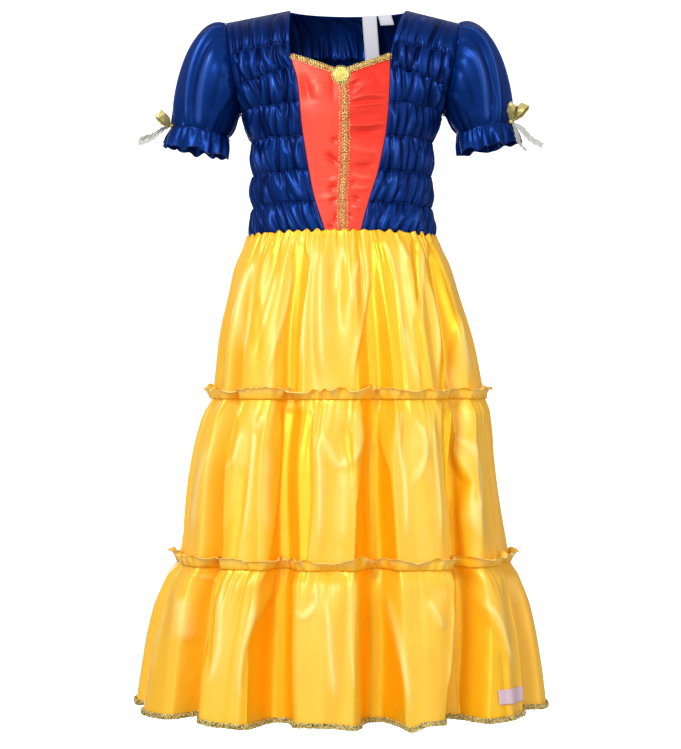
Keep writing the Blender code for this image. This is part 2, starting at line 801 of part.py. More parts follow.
def armhole_loop(front, back):
    """The armhole's edge as (inside, outside) points, from the shoulder down the front and up the back."""
    (front_in, front_out), (back_in, back_out) = front, back
    start = 2 * [row.z_side for row in SHIRRING].index(-0.130)
    loop = [(front_in[r], front_out[r]) for r in range(len(front_in) - 1, start - 1, -1)]
    rear = [(back_in[r], back_out[r]) for r in range(start, len(back_in))]
    for end, other in ((0, -1), (-1, 0)):
        loop[end] = tuple((a + b) / 2 for a, b in zip(loop[end], rear[other]))
    loop += rear[1:-1]
    split = []
    for now, after in zip(loop, loop[1:] + loop[:1]):
        split.append(now)
        split.append(tuple((a + b) / 2 for a, b in zip(now, after)))
    return split


def arm_directions(side):
    """The sleeve's directions: down the arm, away from the body and forwards."""
    lean, drop = math.sin(ARM_TILT), math.cos(ARM_TILT)
    return Vector((side * lean, 0, -drop)), Vector((side * drop, 0, lean)), Vector((0, -1, 0))


def puff_point(side, start, end, turn, share):
    """A point of the puff: share runs from the armhole at start to the cuff at end, turn round the arm."""
    size = SLEEVES[side]
    down, away, forward = arm_directions(side)
    round_arm = away * math.cos(turn) + forward * math.sin(turn)
    fullness = between(UNDERARM_SHARE, 1.0, (1 + math.cos(turn)) / 2)
    head = Vector((side * size.head_out, 0, size.head_up)) * fullness
    head += forward * PUFF_FORWARD * math.sin(turn)
    hang = round_arm * PUFF_OVERHANG - down * PUFF_DROP * fullness
    a, b, c, d = start, start + head, end + hang, end
    back = 1 - share
    return a * back**3 + b * 3 * back**2 * share + c * 3 * back * share**2 + d * share**3


def make_sleeve(side, front, back):
    """A puff sleeve from the armhole to its cuff elastic, with the frill past it."""
    size = SLEEVES[side]
    loop = armhole_loop(front, back)
    count = len(loop)
    down, away, forward = arm_directions(side)
    cuff = Vector((side * size.cuff_x, 0, size.cuff_z))
    inner, outer, turns = [[]], [[]], []
    for k, (inside, outside) in enumerate(loop):
        along_edge = loop[(k + 1) % count][0] - loop[k - 1][0]
        rise = (inside.z - ARMHOLE_Z) / ARMHOLE_HALF_HEIGHT
        turn = math.acos(min(max(rise, -1.0), 1.0))
        turns.append(turn if k <= count // 2 else -turn)
        gap = SLEEVE_GAP + UNDERARM_EASE * (1 - rise) / 2
        clear = along_edge.cross(outside - inside).normalized() * -side * gap
        inner[0].append(inside + clear)
        outer[0].append(outside + clear)
    for row in SLEEVE_ROWS:
        ring = []
        for k, turn in enumerate(turns):
            round_arm = away * math.cos(turn) + forward * math.sin(turn)
            end = cuff + round_arm * CUFF_RADIUS
            place = puff_point(side, outer[0][k], end, turn, row.share)
            full = between(UNDERARM_SHARE, 1.0, (1 + math.cos(turn)) / 2)
            ring.append(place + round_arm * row.gather * full * (-1) ** k)
        outer.append(ring)
    for share in (0.5, 1.0):
        radius = between(CUFF_RADIUS, FRILL_RADIUS, share)
        ring = []
        for k, turn in enumerate(turns):
            round_arm = away * math.cos(turn) + forward * math.sin(turn)
            reach = radius + FRILL_WAVE * share * (-1) ** k
            ring.append(cuff + down * FRILL_LENGTH * share + round_arm * reach)
        outer.append(ring)
    normals = grid_normals([inner[0]] + outer[1:], closed=True)
    middle = len(outer) // 2
    centre = sum(outer[middle], Vector()) / count
    sign = 1 if normals[middle][0].dot(outer[middle][0] - centre) > 0 else -1
    for line, row in zip(normals[1:], outer[1:]):
        inner.append([p - n * SATIN * sign for p, n in zip(row, line)])
    wall(size.name, outer, inner, BLUE_SATIN, closed=True)


# Ribbon bows, made of strips that follow a path


def ribbon(name, path, across):
    """A ribbon of the bow's width along a path of points; across is the direction of its width."""
    far, near = [], []
    for k, point in enumerate(path):
        spread = min(1.0, BOW_PINCH + (point - path[0]).length / BOW_SPREAD_LENGTH)
        half = across.normalized() * BOW_RIBBON_WIDTH * spread / 2
        ahead = path[min(k + 1, len(path) - 1)] - path[max(k - 1, 0)]
        normal = ahead.cross(across).normalized() * RIBBON / 2
        far.append([point + s * half + normal for s in (-1, 1)])
        near.append([point + s * half - normal for s in (-1, 1)])
    wall(name, far, near, GOLD_RIBBON)


def loop_path(start, direction, swell):
    """A loop that leaves the knot, opens out and comes back beside where it began."""
    points = []
    steps = 12
    for k in range(steps + 1):
        turn = 2 * math.pi * k / steps
        reach = BOW_LOOP_LENGTH * 0.5 * (1 - math.cos(turn))
        side_step = -math.sin(turn) * (0.4 + 0.6 * math.sin(turn / 2)) * BOW_LOOP_FULLNESS
        apart = RIBBON * 1.3 * (k / steps - 0.5)
        points.append(start + direction * reach + swell * (side_step + apart))
    return points


def tail_path(start, direction, bend):
    """A ribbon end that hangs from the knot in a slight curve."""
    steps = 6
    return [
        start + direction * BOW_TAIL_LENGTH * k / steps + bend * (k / steps) ** 2
        for k in range(steps + 1)
    ]


def make_bow(side):
    """A knot with two loops and two ends, on the outer side of a cuff."""
    bow, size = BOWS[side], SLEEVES[side]
    down, away, forward = arm_directions(side)
    outward = away * math.cos(bow.turn) + forward * math.sin(bow.turn)
    along = forward * math.cos(bow.turn) - away * math.sin(bow.turn)
    cuff = Vector((side * size.cuff_x, 0, size.cuff_z))
    knot = cuff + outward * (CUFF_RADIUS + bow.seat + BOW_KNOT / 2)
    bm = bmesh.new()
    bmesh.ops.create_icosphere(bm, subdivisions=2, radius=BOW_KNOT / 2)
    bmesh.ops.translate(bm, verts=bm.verts, vec=knot)
    put(f"{bow.name}_knot", bm, GOLD_RIBBON)
    reach = BOW_KNOT / 2 + 2 * SEAM_GAP
    for ribbon_part in bow.parts:
        direction = outward * ribbon_part.out + along * ribbon_part.along - down * ribbon_part.up
        direction.normalize()
        start = knot + direction * reach
        across = along.cross(direction) if ribbon_part.loop else outward.cross(direction)
        if ribbon_part.loop:
            swell = across.normalized().cross(direction).normalized()
            path = loop_path(start, direction, swell)
        else:
            path = tail_path(start, direction, outward * BOW_TAIL_BEND)
        ribbon(f"{bow.name}_{ribbon_part.name}", path, across)


def make_neck_label(label, neck_edge):
    """A plain white label that hangs straight down inside the back of the neck."""
    middle = BACK_GATHERS * COLUMNS_IN_A_GATHER // 2
    ends = neck_edge[middle], neck_edge[middle + COLUMNS_IN_A_GATHER]
    inward = Vector((ends[0].y - ends[1].y, ends[0].x - ends[1].x, 0)).normalized()
    near, far = [], []
    for share in (0.0, 0.5, 1.0):
        drop = Vector((label.swing * share, 0, -LABEL_BELOW_EDGE - label.length * share))
        line = [between(*ends, place) + drop for place in (label.start, label.end)]
        near.append([point + inward * SEAM_GAP for point in line])
        far.append([point + inward * (SEAM_GAP + LABEL_CLOTH) for point in line])
    wall(label.name, near, far, LABEL_SATIN)


def main():
    clear_scene()
    tiers = {name: make_tier(name) for name in TIER_ROWS}
    make_ruffle("ruffle_1", tiers["tier_1"][-1], FIRST_RUFFLE_Z)
    make_ruffle("ruffle_2", tiers["tier_2"][-1], SECOND_RUFFLE_Z)
    make_hem_braid(tiers["tier_3"])
    make_hem_label(tiers["tier_3"])
    fronts = {side: make_front(side) for side in (-1, 1)}
    back_in, back_out = make_back()
    grid, normals = make_insert()
    make_neck_braid(grid, normals)
    make_centre_braid(grid, normals)
    make_rosette(grid, normals)
    for side, (front_in, front_out) in fronts.items():
        end = 0 if side < 0 else -1
        front_edge = ([row[-1] for row in front_in], [row[-1] for row in front_out])
        back_edge = ([row[end] for row in back_in], [row[end] for row in back_out])
        make_sleeve(side, front_edge, back_edge)
        make_bow(side)
    for label in NECK_LABELS:
        make_neck_label(label, back_in[-1])


main()
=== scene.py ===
"""Looks of a child's princess costume dress: satin cloth, gathers, shirring, gold trims and studio light.

Metres, +Z up, front towards -Y, the wearer's right side at -X. The origin is the middle of the shoulder
line. Every sheet of cloth is a thin shell that follows the solid it stands for.
"""

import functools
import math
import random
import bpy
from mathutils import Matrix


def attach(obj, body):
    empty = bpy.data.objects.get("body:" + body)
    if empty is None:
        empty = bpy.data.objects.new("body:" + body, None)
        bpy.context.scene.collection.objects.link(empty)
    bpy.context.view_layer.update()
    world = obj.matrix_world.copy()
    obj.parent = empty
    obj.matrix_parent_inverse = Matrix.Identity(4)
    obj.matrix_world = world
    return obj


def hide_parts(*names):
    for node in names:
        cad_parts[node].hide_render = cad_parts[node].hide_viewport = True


bl_info = {
    "name": "Satin princess costume dress",
    "version": (1, 0, 0),
    "blender": (4, 5, 0),
    "location": "3D View > Sidebar > Dress",
    "description": "Models the cloth, trims and studio of a child's satin costume dress",
    "category": "Object",
}

from collections import namedtuple

import bpy
import numpy as np
from bpy.props import FloatProperty, FloatVectorProperty, PointerProperty
from mathutils import Matrix, Vector

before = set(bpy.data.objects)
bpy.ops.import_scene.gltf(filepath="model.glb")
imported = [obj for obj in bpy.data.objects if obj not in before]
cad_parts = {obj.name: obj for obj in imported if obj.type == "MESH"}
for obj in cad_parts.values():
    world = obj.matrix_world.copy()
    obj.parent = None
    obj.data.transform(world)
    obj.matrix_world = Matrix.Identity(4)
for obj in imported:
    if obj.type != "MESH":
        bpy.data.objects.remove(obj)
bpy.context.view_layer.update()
TAU = 2 * math.pi

# Heights of the seams, down from the shoulder line
WAIST_Z = -0.279
WAIST_DIP = 0.004
FIRST_RUFFLE_Z = -0.482
SECOND_RUFFLE_Z = -0.684
HEM_Z = -0.866
SEAM_GAP = 0.0003

# Skirt outline: its half width and half depth over the ridges of its folds, how far it swings towards the
# wearer's left, and how deep the folds are there as a share of their depth at the hem
SkirtSection = namedtuple("SkirtSection", "z half_width half_depth swing fold_share")
SKIRT = (
    SkirtSection(-0.279, 0.1145, 0.0775, 0.0000, 0.00),
    SkirtSection(-0.289, 0.1210, 0.0840, 0.0005, 0.02),
    SkirtSection(-0.312, 0.1305, 0.0930, 0.0015, 0.08),
    SkirtSection(-0.348, 0.1410, 0.1020, 0.0025, 0.18),
    SkirtSection(-0.400, 0.1545, 0.1140, 0.0040, 0.30),
    SkirtSection(-0.482, 0.1680, 0.1260, 0.0060, 0.45),
    SkirtSection(-0.500, 0.1770, 0.1320, 0.0055, 0.50),
    SkirtSection(-0.560, 0.1875, 0.1400, 0.0000, 0.60),
    SkirtSection(-0.684, 0.2060, 0.1510, 0.0010, 0.72),
    SkirtSection(-0.702, 0.2180, 0.1580, 0.0005, 0.76),
    SkirtSection(-0.770, 0.2375, 0.1650, -0.0010, 0.88),
    SkirtSection(-0.866, 0.2535, 0.1710, -0.0030, 1.00),
)
SKIRT_POWER = 2.45
QUARTER_STEPS = 180

# Hanging folds: the place of each trough at the first ruffle and at the hem, as a share of the way from the
# centre front (0) past the side seam (0.5) to the centre back (1), with its half width and depth
Fold = namedtuple("Fold", "place_high place_hem half_width depth")
FOLDS = (
    Fold(-0.310, -0.270, 0.034, 0.040),
    Fold(-0.150, -0.113, 0.044, 0.047),
    Fold(0.075, 0.066, 0.046, 0.050),
    Fold(0.310, 0.222, 0.042, 0.046),
    Fold(0.430, 0.385, 0.038, 0.024),
    Fold(0.560, 0.555, 0.040, 0.026),
    Fold(0.690, 0.680, 0.050, 0.044),
    Fold(0.825, 0.820, 0.044, 0.036),
    Fold(0.985, 0.965, 0.050, 0.047),
    Fold(-0.860, -0.870, 0.044, 0.034),
    Fold(-0.720, -0.715, 0.050, 0.045),
    Fold(-0.570, -0.580, 0.040, 0.026),
    Fold(-0.430, -0.430, 0.038, 0.022),
)
FOLD_FLANK = 0.82

# Small gathers below a seam, which merge into fewer and longer ones further down
GatherSize = namedtuple("GatherSize", "pitch height fade")
GATHERS = (
    GatherSize(0.0105, 0.0024, 0.013),
    GatherSize(0.0190, 0.0026, 0.027),
    GatherSize(0.0380, 0.0022, 0.060),
)

# The three tiers, with the lines of their main creases on the front. A crease runs through points given as
# millimetres to the wearer's left of the centre and down from the seam above
Crease = namedtuple("Crease", "path width height")
Tier = namedtuple("Tier", "name nodes top bottom seed flat held creases troughs")

# A trough between two panels of a tier: rows of (mm down from the seam, left edge, right edge), how soft
# those edges are in mm, and how deep its painted shade is as a share; the cloth also sinks there
Trough = namedtuple("Trough", "rows soft_left soft_right shade")
TIERS = (
    Tier(
        "skirt_cloth_top", ("skirt_tier_1_front", "skirt_tier_1_back"), WAIST_Z, FIRST_RUFFLE_Z, 11,
        (1.20, 0.213), "gathered",
        (
            Crease(((-105, 26), (-126, 72), (-128, 141), (-124, 175)), 5.0, 2.2),
            Crease(((-78, 42), (-93, 108), (-114, 160)), 3.6, 1.9),
            Crease(((-57, 25), (-71, 108), (-96, 191)), 3.6, 2.1),
            Crease(((-31, 18), (-43, 66), (-50, 179)), 3.2, 2.0),
            Crease(((-26, 9), (-28, 89), (-23, 184)), 5.5, 2.2),
            Crease(((-2, 9), (-7, 84)), 5.0, 1.8),
            Crease(((22, 30), (10, 65), (17, 96)), 4.5, 2.0),
            Crease(((29, 18), (32, 84), (10, 184)), 3.6, 2.0),
            Crease(((55, 9), (69, 72), (76, 184)), 3.4, 2.4),
            Crease(((70, 9), (82, 42)), 4.0, 1.8),
            Crease(((75, 113), (93, 189)), 4.0, 1.6),
            Crease(((97, 9), (100, 53), (93, 125)), 3.6, 2.0),
            Crease(((105, 53), (119, 113), (117, 179)), 3.6, 2.0),
            Crease(((124, 30), (143, 101), (157, 191)), 4.0, 2.2),
        ),
        (
            Trough(((18, -60, -45), (40, -60, -41), (63, -61, -42), (109, -68, -49), (155, -72, -51), (203, -72, -54)), 7, 4, 0.62),
            Trough(((12, 33, 50), (22, 33, 54), (63, 36, 66), (109, 27, 70), (155, 18, 75), (203, 14, 78)), 5, 6, 0.78),
            Trough(((9, 85, 93), (39, 86, 93), (72, 88, 94)), 4, 3, 0.95),
            Trough(((12, 106, 113), (22, 108, 116), (52, 111, 128), (97, 118, 142), (143, 122, 142), (203, 121, 143)), 5, 6, 0.95),
            Trough(((8, -88, -75), (29, -86, -76)), 4, 4, 0.60),
            Trough(((78, -112, -101), (120, -117, -96), (144, -110, -98)), 9, 9, 0.40),
            Trough(((30, -141, -134), (120, -155, -142), (203, -160, -148)), 10, 12, 0.45),
            Trough(((110, 86, 94), (160, 92, 102), (203, 96, 108)), 6, 6, 0.55),
        ),
    ),
    Tier(
        "skirt_cloth_middle", ("skirt_tier_2_front", "skirt_tier_2_back"), FIRST_RUFFLE_Z, SECOND_RUFFLE_Z, 23,
        (1.60, 0.212), "gathered",
        (
            Crease(((-142, 35), (-150, 65), (-142, 84), (-126, 70), (-121, 30)), 4.5, 2.2),
            Crease(((-107, 21), (-107, 65), (-115, 147), (-121, 179)), 3.6, 2.4),
            Crease(((-95, 18), (-105, 40)), 4.0, 1.8),
            Crease(((-31, 38), (-25, 92), (-28, 179)), 4.0, 2.6),
            Crease(((-25, 35), (-9, 78), (10, 78), (25, 49), (18, 13)), 4.5, 2.2),
            Crease(((2, 81), (-1, 174)), 6.0, 1.8),
            Crease(((69, 16), (67, 51), (77, 100), (77, 174)), 3.6, 2.6),
            Crease(((86, 19), (100, 46), (97, 81), (78, 108)), 3.6, 2.2),
            Crease(((103, 13), (111, 51), (116, 119), (117, 179)), 4.0, 2.4),
            Crease(((149, 32), (165, 65), (171, 111), (161, 136), (168, 179)), 4.0, 2.4),
            Crease(((-162, 49), (-178, 120), (-182, 173)), 6.0, 2.0),
            Crease(((-90, 49), (-95, 120), (-91, 173)), 5.0, 1.6),
        ),
        (
            Trough(((14, -77, -36), (63, -78, -36), (116, -83, -35), (155, -87, -38), (204, -92, -42)), 5, 6, 0.80),
            Trough(((2, 28, 47), (50, 30, 47), (89, 24, 57), (129, 18, 60), (204, 15, 63)), 6, 7, 1.00),
            Trough(((12, 121, 145), (63, 123, 150), (102, 125, 160), (142, 130, 156), (204, 134, 160)), 4, 6, 1.00),
            Trough(((28, -135, -125), (48, -146, -128), (66, -142, -131)), 5, 4, 0.60),
            Trough(((90, -124, -114), (131, -130, -117), (173, -148, -124), (204, -152, -126)), 9, 7, 0.45),
            Trough(((36, 0, 9), (62, 4, 12), (80, 8, 14)), 5, 5, 0.50),
        ),
    ),
    Tier(
        "skirt_cloth_bottom", ("skirt_tier_3_front", "skirt_tier_3_back"), SECOND_RUFFLE_Z, HEM_Z, 37,
        (2.00, 0.192), "gathered",
        (
            Crease(((-192, 32), (-192, 95)), 9.0, 2.2),
            Crease(((-183, 4), (-151, 38)), 4.0, 2.0),
            Crease(((-142, 16), (-142, 95), (-161, 145)), 5.0, 2.6),
            Crease(((-101, 25), (-123, 120), (-110, 176)), 5.0, 2.6),
            Crease(((-32, 16), (-29, 38), (-45, 57), (-57, 44)), 4.5, 2.4),
            Crease(((-18, 32), (-15, 79), (-7, 158)), 4.5, 2.6),
            Crease(((53, 16), (72, 95), (81, 170)), 4.5, 2.6),
            Crease(((100, 32), (122, 72)), 4.5, 2.2),
            Crease(((135, 32), (138, 88), (125, 145)), 4.5, 2.4),
            Crease(((166, 32), (188, 63), (197, 104), (219, 120)), 4.5, 2.4),
            Crease(((12, 10), (9, 80), (16, 151)), 4.0, 2.0),
            Crease(((-214, 34), (-225, 104), (-230, 145)), 6.0, 2.0),
        ),
        (
            Trough(((2, -160, -138), (15, -158, -143), (38, -169, -151), (61, -165, -151), (103, -165, -154)), 5, 5, 0.75),
            Trough(((2, -82, -61), (30, -87, -62), (61, -102, -61), (95, -113, -61), (127, -117, -60), (186, -118, -60)), 9, 2, 0.92),
            Trough(((2, 21, 48), (30, 22, 48), (61, 23, 54), (95, 23, 63), (127, 23, 70), (186, 23, 75)), 2, 10, 0.98),
            Trough(((2, 154, 167), (30, 155, 168), (61, 152, 176), (86, 150, 190), (110, 152, 196), (186, 158, 200)), 2, 10, 0.80),
            Trough(((40, -214, -204), (110, -226, -210), (186, -236, -216)), 12, 12, 0.40),
        ),
    ),
)
TROUGH_DEPTH = 0.0040
# How far crests of creases and gathers are painted towards the lighter crest colour, as a painted highlight
PAINTED_CREST_HIGHLIGHT = 0.75
SEAM_REACH = 0.014
SEAM_OVERLAP = 0.0012
DRAPES = 9
DRAPE_HEIGHT = 0.0019
TIER_COLUMNS = 1040
TIER_ROWS = 45
BACK_CREASES = 17

# Places where the hem hangs lower, on the front: metres to the wearer's left, fall and half width
HEM_DIPS = ((0.083, 0.0060, 0.010), (-0.110, 0.0022, 0.030), (0.010, 0.0022, 0.022), (-0.150, 0.0030, 0.014))

# Ruffle headings: rows from the seam to the free edge, with height, lean outwards and wave
RuffleRow = namedtuple("RuffleRow", "rise lean wave")
RUFFLE = (
    RuffleRow(-0.0010, 0.0008, 0.0002),
    RuffleRow(0.0012, 0.0012, 0.0006),
    RuffleRow(0.0036, 0.0017, 0.0014),
    RuffleRow(0.0064, 0.0023, 0.0026),
    RuffleRow(0.0094, 0.0030, 0.0038),
    RuffleRow(0.0124, 0.0038, 0.0050),
    RuffleRow(0.0142, 0.0050, 0.0058),
    RuffleRow(0.0150, 0.0064, 0.0062),
)
RUFFLE_EASE = np.hanning(39) / np.hanning(39).sum()
Ruffle = namedtuple("Ruffle", "name node tier seed flat")
RUFFLES = (
    Ruffle("frill_upper", "ruffle_1", 0, 5, (1.60, 0.018)),
    Ruffle("frill_lower", "ruffle_2", 1, 8, (2.00, 0.018)),
)

# Bodice outline, measured to the inside of the cloth; over the armholes only the depth is used
BodySection = namedtuple("BodySection", "z half_width half_depth")
BODY = (
    BodySection(0.000, 0.0700, 0.0420),
    BodySection(-0.016, 0.1450, 0.0520),
    BodySection(-0.048, 0.1600, 0.0650),
    BodySection(-0.078, 0.1600, 0.0740),
    BodySection(-0.130, 0.1230, 0.0790),
    BodySection(-0.162, 0.1110, 0.0775),
    BodySection(-0.204, 0.1085, 0.0750),
    BodySection(-0.243, 0.1085, 0.0735),
    BodySection(-0.284, 0.1125, 0.0740),
)
SECTION_POWER = 2.3
CLOTH_OUT = 0.002
ARMHOLE_Z = -0.076
ARMHOLE_HALF_HEIGHT = 0.054
ARMHOLE_HALF_DEPTH = 0.046
ARMHOLE_X = 0.134
ARMHOLE_LEAN = 0.011
SHOULDER_TIP_Z = -0.016

# Inner edge of each blue front, from the waist to the neck: distance from the centre line on each side
FrontEdge = namedtuple("FrontEdge", "z right left")
FRONT_EDGE = (
    FrontEdge(0.000, 0.0640, 0.0800),
    FrontEdge(-0.030, 0.0645, 0.0670),
    FrontEdge(-0.063, 0.0630, 0.0590),
    FrontEdge(-0.095, 0.0545, 0.0580),
    FrontEdge(-0.151, 0.0485, 0.0540),
    FrontEdge(-0.205, 0.0400, 0.0435),
    FrontEdge(-0.239, 0.0330, 0.0330),
    FrontEdge(-0.284, 0.0180, 0.0205),
)

# Rows of elastic shirring, each at its height by the centre and at the side, and how far the cloth
# between it and the next row up puffs out. The last band runs over the shoulder
Shirring = namedtuple("Shirring", "z_centre z_side puff")
SHIRRING = (
    Shirring(-0.279, -0.283, 0.0052),
    Shirring(-0.243, -0.246, 0.0056),
    Shirring(-0.204, -0.206, 0.0058),
    Shirring(-0.162, -0.164, 0.0058),
    Shirring(-0.121, -0.130, 0.0052),
    Shirring(-0.078, -0.101, 0.0045),
    Shirring(-0.048, -0.060, 0.0040),
)
BANDS = len(SHIRRING)
UNDERARM_BAND = 4
SHIRRED_PITCH = 0.0125
SHIRRED_VALLEY = 0.0038
SHIRRED_WIDTH = 0.0025
ROW_WANDER = 0.0016
BACK_NECK_DEPTH = 0.043
BACK_NECK_SHARE = 0.30
PANEL_COLUMNS = 160
PANEL_ROWS = 281
BACK_COLUMNS = 300
BACK_ROWS = 155

# Red centre front: how far its top edge dips to a point, and the lines of its drag folds, as millimetres
# to the wearer's left of the centre and millimetres down from the shoulder line
NECK_POINT_DROP = 0.021
INSERT_TOP_Z = -0.063
INSERT_START_Z = -0.162
INSERT_COLUMNS = 110
INSERT_ROWS = 200
INSERT_CREASES = (
    Crease(((7, 122), (31, 113), (54, 116)), 2.6, 1.6),
    Crease(((8, 129), (54, 123)), 2.4, 1.3),
    Crease(((7, 151), (30, 151), (50, 148)), 2.4, 2.0),
    Crease(((26, 89), (7, 100)), 3.0, 1.6),
    Crease(((36, 94), (13, 114)), 3.0, 1.5),
    Crease(((10, 178), (44, 184)), 7.0, 1.8),
    Crease(((11, 211), (38, 216)), 5.0, 1.6),
    Crease(((11, 227), (34, 226)), 4.0, 1.5),
    Crease(((11, 251), (25, 249)), 4.0, 1.4),
    Crease(((-16, 219), (-2, 213)), 2.5, 1.6),
    Crease(((-27, 240), (-6, 235)), 3.0, 1.6),
    Crease(((-30, 96), (-29, 120)), 7.0, 1.6),
)
# Dents sink the cloth and are painted darker as painted shade; the creases above also get a painted highlight
INSERT_DENTS = (
    Crease(((6, 123), (54, 120)), 3.0, 1.6),
    Crease(((7, 141), (52, 137)), 7.5, 1.6),
    Crease(((8, 160), (49, 157)), 5.5, 2.6),
    Crease(((10, 201), (41, 198)), 4.5, 2.2),
    Crease(((9, 220), (17, 221)), 3.0, 1.6),
    Crease(((10, 238), (23, 241)), 4.0, 2.0),
    Crease(((6, 265), (11, 257)), 3.5, 1.6),
    Crease(((8, 106), (20, 98)), 4.0, 1.8),
    Crease(((34, 84), (50, 104)), 8.0, 1.2),
    Crease(((-47, 86), (-38, 126)), 7.0, 2.0),
    Crease(((-12, 86), (-10, 123)), 5.0, 1.4),
    Crease(((-15, 168), (-3, 169)), 4.0, 1.9),
    Crease(((-21, 183), (-3, 199)), 4.5, 2.4),
    Crease(((-18, 229), (-5, 223)), 4.0, 2.0),
    Crease(((-16, 245), (-5, 239)), 4.0, 1.6),
    Crease(((-9, 271), (-5, 255)), 4.0, 2.0),
    Crease(((-21, 273), (-10, 275)), 4.0, 1.6),
)
# Dent depth, in metres, that sets how strongly a dent is painted as shade
DENT_SHADE = 0.0022

# Sleeves: the puff ends at an elastic ring, and the cloth past it is a frill
SleeveSize = namedtuple("SleeveSize", "name node cuff_x cuff_z head_out head_up")
SLEEVES = {
    -1: SleeveSize("puff_sleeve_right", "sleeve_right", 0.1765, -0.1505, 0.034, 0.014),
    1: SleeveSize("puff_sleeve_left", "sleeve_left", 0.1785, -0.1460, 0.036, 0.016),
}

# Long folds of a sleeve: angle from its top round towards the front, how far it slants down the arm, where
# it starts and ends as shares of the puff's length, its half width as an angle, and its height in mm
SleeveFold = namedtuple("SleeveFold", "turn slant start end width height")
SLEEVE_FOLDS = (
    SleeveFold(0.75, 0.34, 0.02, 0.98, 0.055, 3.4),
    SleeveFold(0.25, 0.10, 0.30, 0.95, 0.20, 3.2),
    SleeveFold(1.30, 0.24, 0.25, 0.98, 0.16, 3.6),
    SleeveFold(1.02, 0.30, 0.15, 0.90, 0.10, -2.6),
    SleeveFold(1.78, 0.10, 0.10, 0.80, 0.12, -2.4),
    SleeveFold(2.15, -0.20, 0.20, 0.90, 0.12, 2.4),
    SleeveFold(-0.35, 0.14, 0.10, 0.95, 0.07, 3.0),
    SleeveFold(-0.85, -0.24, 0.10, 0.95, 0.14, 3.4),
    SleeveFold(-1.45, 0.20, 0.25, 0.90, 0.12, 3.0),
    SleeveFold(-2.10, -0.14, 0.30, 0.90, 0.12, 2.4),
)
CUFF_RADIUS = 0.0360
FRILL_LENGTH = 0.0250
FRILL_RADIUS = 0.0405
ARM_TILT = math.radians(11)
PUFF_FORWARD = 0.026
PUFF_DROP = 0.068
PUFF_OVERHANG = 0.010
UNDERARM_SHARE = 0.16
SLEEVE_GAP = 0.0006
UNDERARM_EASE = 0.0006
SLEEVE_COLUMNS = 320
SLEEVE_PUFF_ROWS = 100
SLEEVE_FRILL_ROWS = 26

# Ribbon bows on the outer side of each cuff, with the way that each loop and end leaves the knot
BOW_RIBBON_WIDTH = 0.011
BOW_LOOP_LENGTH = 0.026
BOW_LOOP_FULLNESS = 0.0045
BOW_TAIL_LENGTH = 0.043
BOW_TAIL_BEND = 0.004
BOW_PINCH = 0.22
BOW_SPREAD_LENGTH = 0.014
BOW_KNOT = 0.007
RibbonPart = namedtuple("RibbonPart", "name loop out along up")
Bow = namedtuple("Bow", "name turn seat parts")
BOWS = {
    -1: Bow("bow_right", math.radians(20), -0.0004, (
        RibbonPart("loop_front", True, 0.80, 0.52, 0.35),
        RibbonPart("loop_back", True, 0.35, -0.85, 0.35),
        RibbonPart("end_front", False, 0.80, 0.35, -0.62),
        RibbonPart("end_back", False, 0.62, -0.65, -0.70),
    )),
    1: Bow("bow_left", math.radians(38), 0.0011, (
        RibbonPart("loop_front", True, 0.55, 0.50, 0.62),
        RibbonPart("loop_back", True, 0.50, -0.62, 0.62),
        RibbonPart("end_front", False, 0.34, 0.30, -0.92),
        RibbonPart("end_back", False, 0.45, -0.42, -0.82),
    )),
}

# Gold trims
HEM_BRAID_HEIGHT = 0.0062
CENTRE_BRAID_TOP_Z = -0.096
ROSETTE_Z = -0.0905
BRAID_LIFT = 0.0012
ROSE_RADIUS = 0.0092

# Bare labels: the hem label's place round the bottom tier and height, and the two in the back of the neck
HEM_LABEL_PLACES = (0.285, 0.375)
HEM_LABEL_LOW = 0.020
HEM_LABEL_HEIGHT = 0.0175
NeckLabel = namedtuple("NeckLabel", "name node start end length swing")
NECK_LABELS = (
    NeckLabel("care_label_long", "neck_label_long", 0.31, 0.64, 0.062, 0.004),
    NeckLabel("care_label_short", "neck_label_short", 0.67, 0.98, 0.012, 0.003),
)


def linear(code):
    """The linear colour of an sRGB hex value."""
    channels = [int(code[k:k + 2], 16) / 255 for k in (1, 3, 5)]
    return tuple(
        c / 12.92 if c <= 0.04045 else ((c + 0.055) / 1.055) ** 2.4 for c in channels
    )


class DressSizes(bpy.types.PropertyGroup):
    """Sizes of the cloth and trims that a user may change."""

    satin: FloatProperty(
        name="Satin", description="Thickness of the skirt's satin", default=0.0006, unit="LENGTH"
    )
    shirred: FloatProperty(
        name="Shirred satin", description="Thickness of the bodice's satin", default=0.0006, unit="LENGTH"
    )
    frill: FloatProperty(
        name="Frill", description="Thickness of the ruffle headings", default=0.0005, unit="LENGTH"
    )
    ribbon: FloatProperty(
        name="Ribbon", description="Thickness of the bows' ribbon", default=0.0004, unit="LENGTH"
    )
    label: FloatProperty(
        name="Label tape", description="Thickness of the label tape", default=0.0005, unit="LENGTH"
    )
    stitch: FloatProperty(
        name="Stitch", description="Length of one stitch over the elastic", default=0.0026, unit="LENGTH"
    )


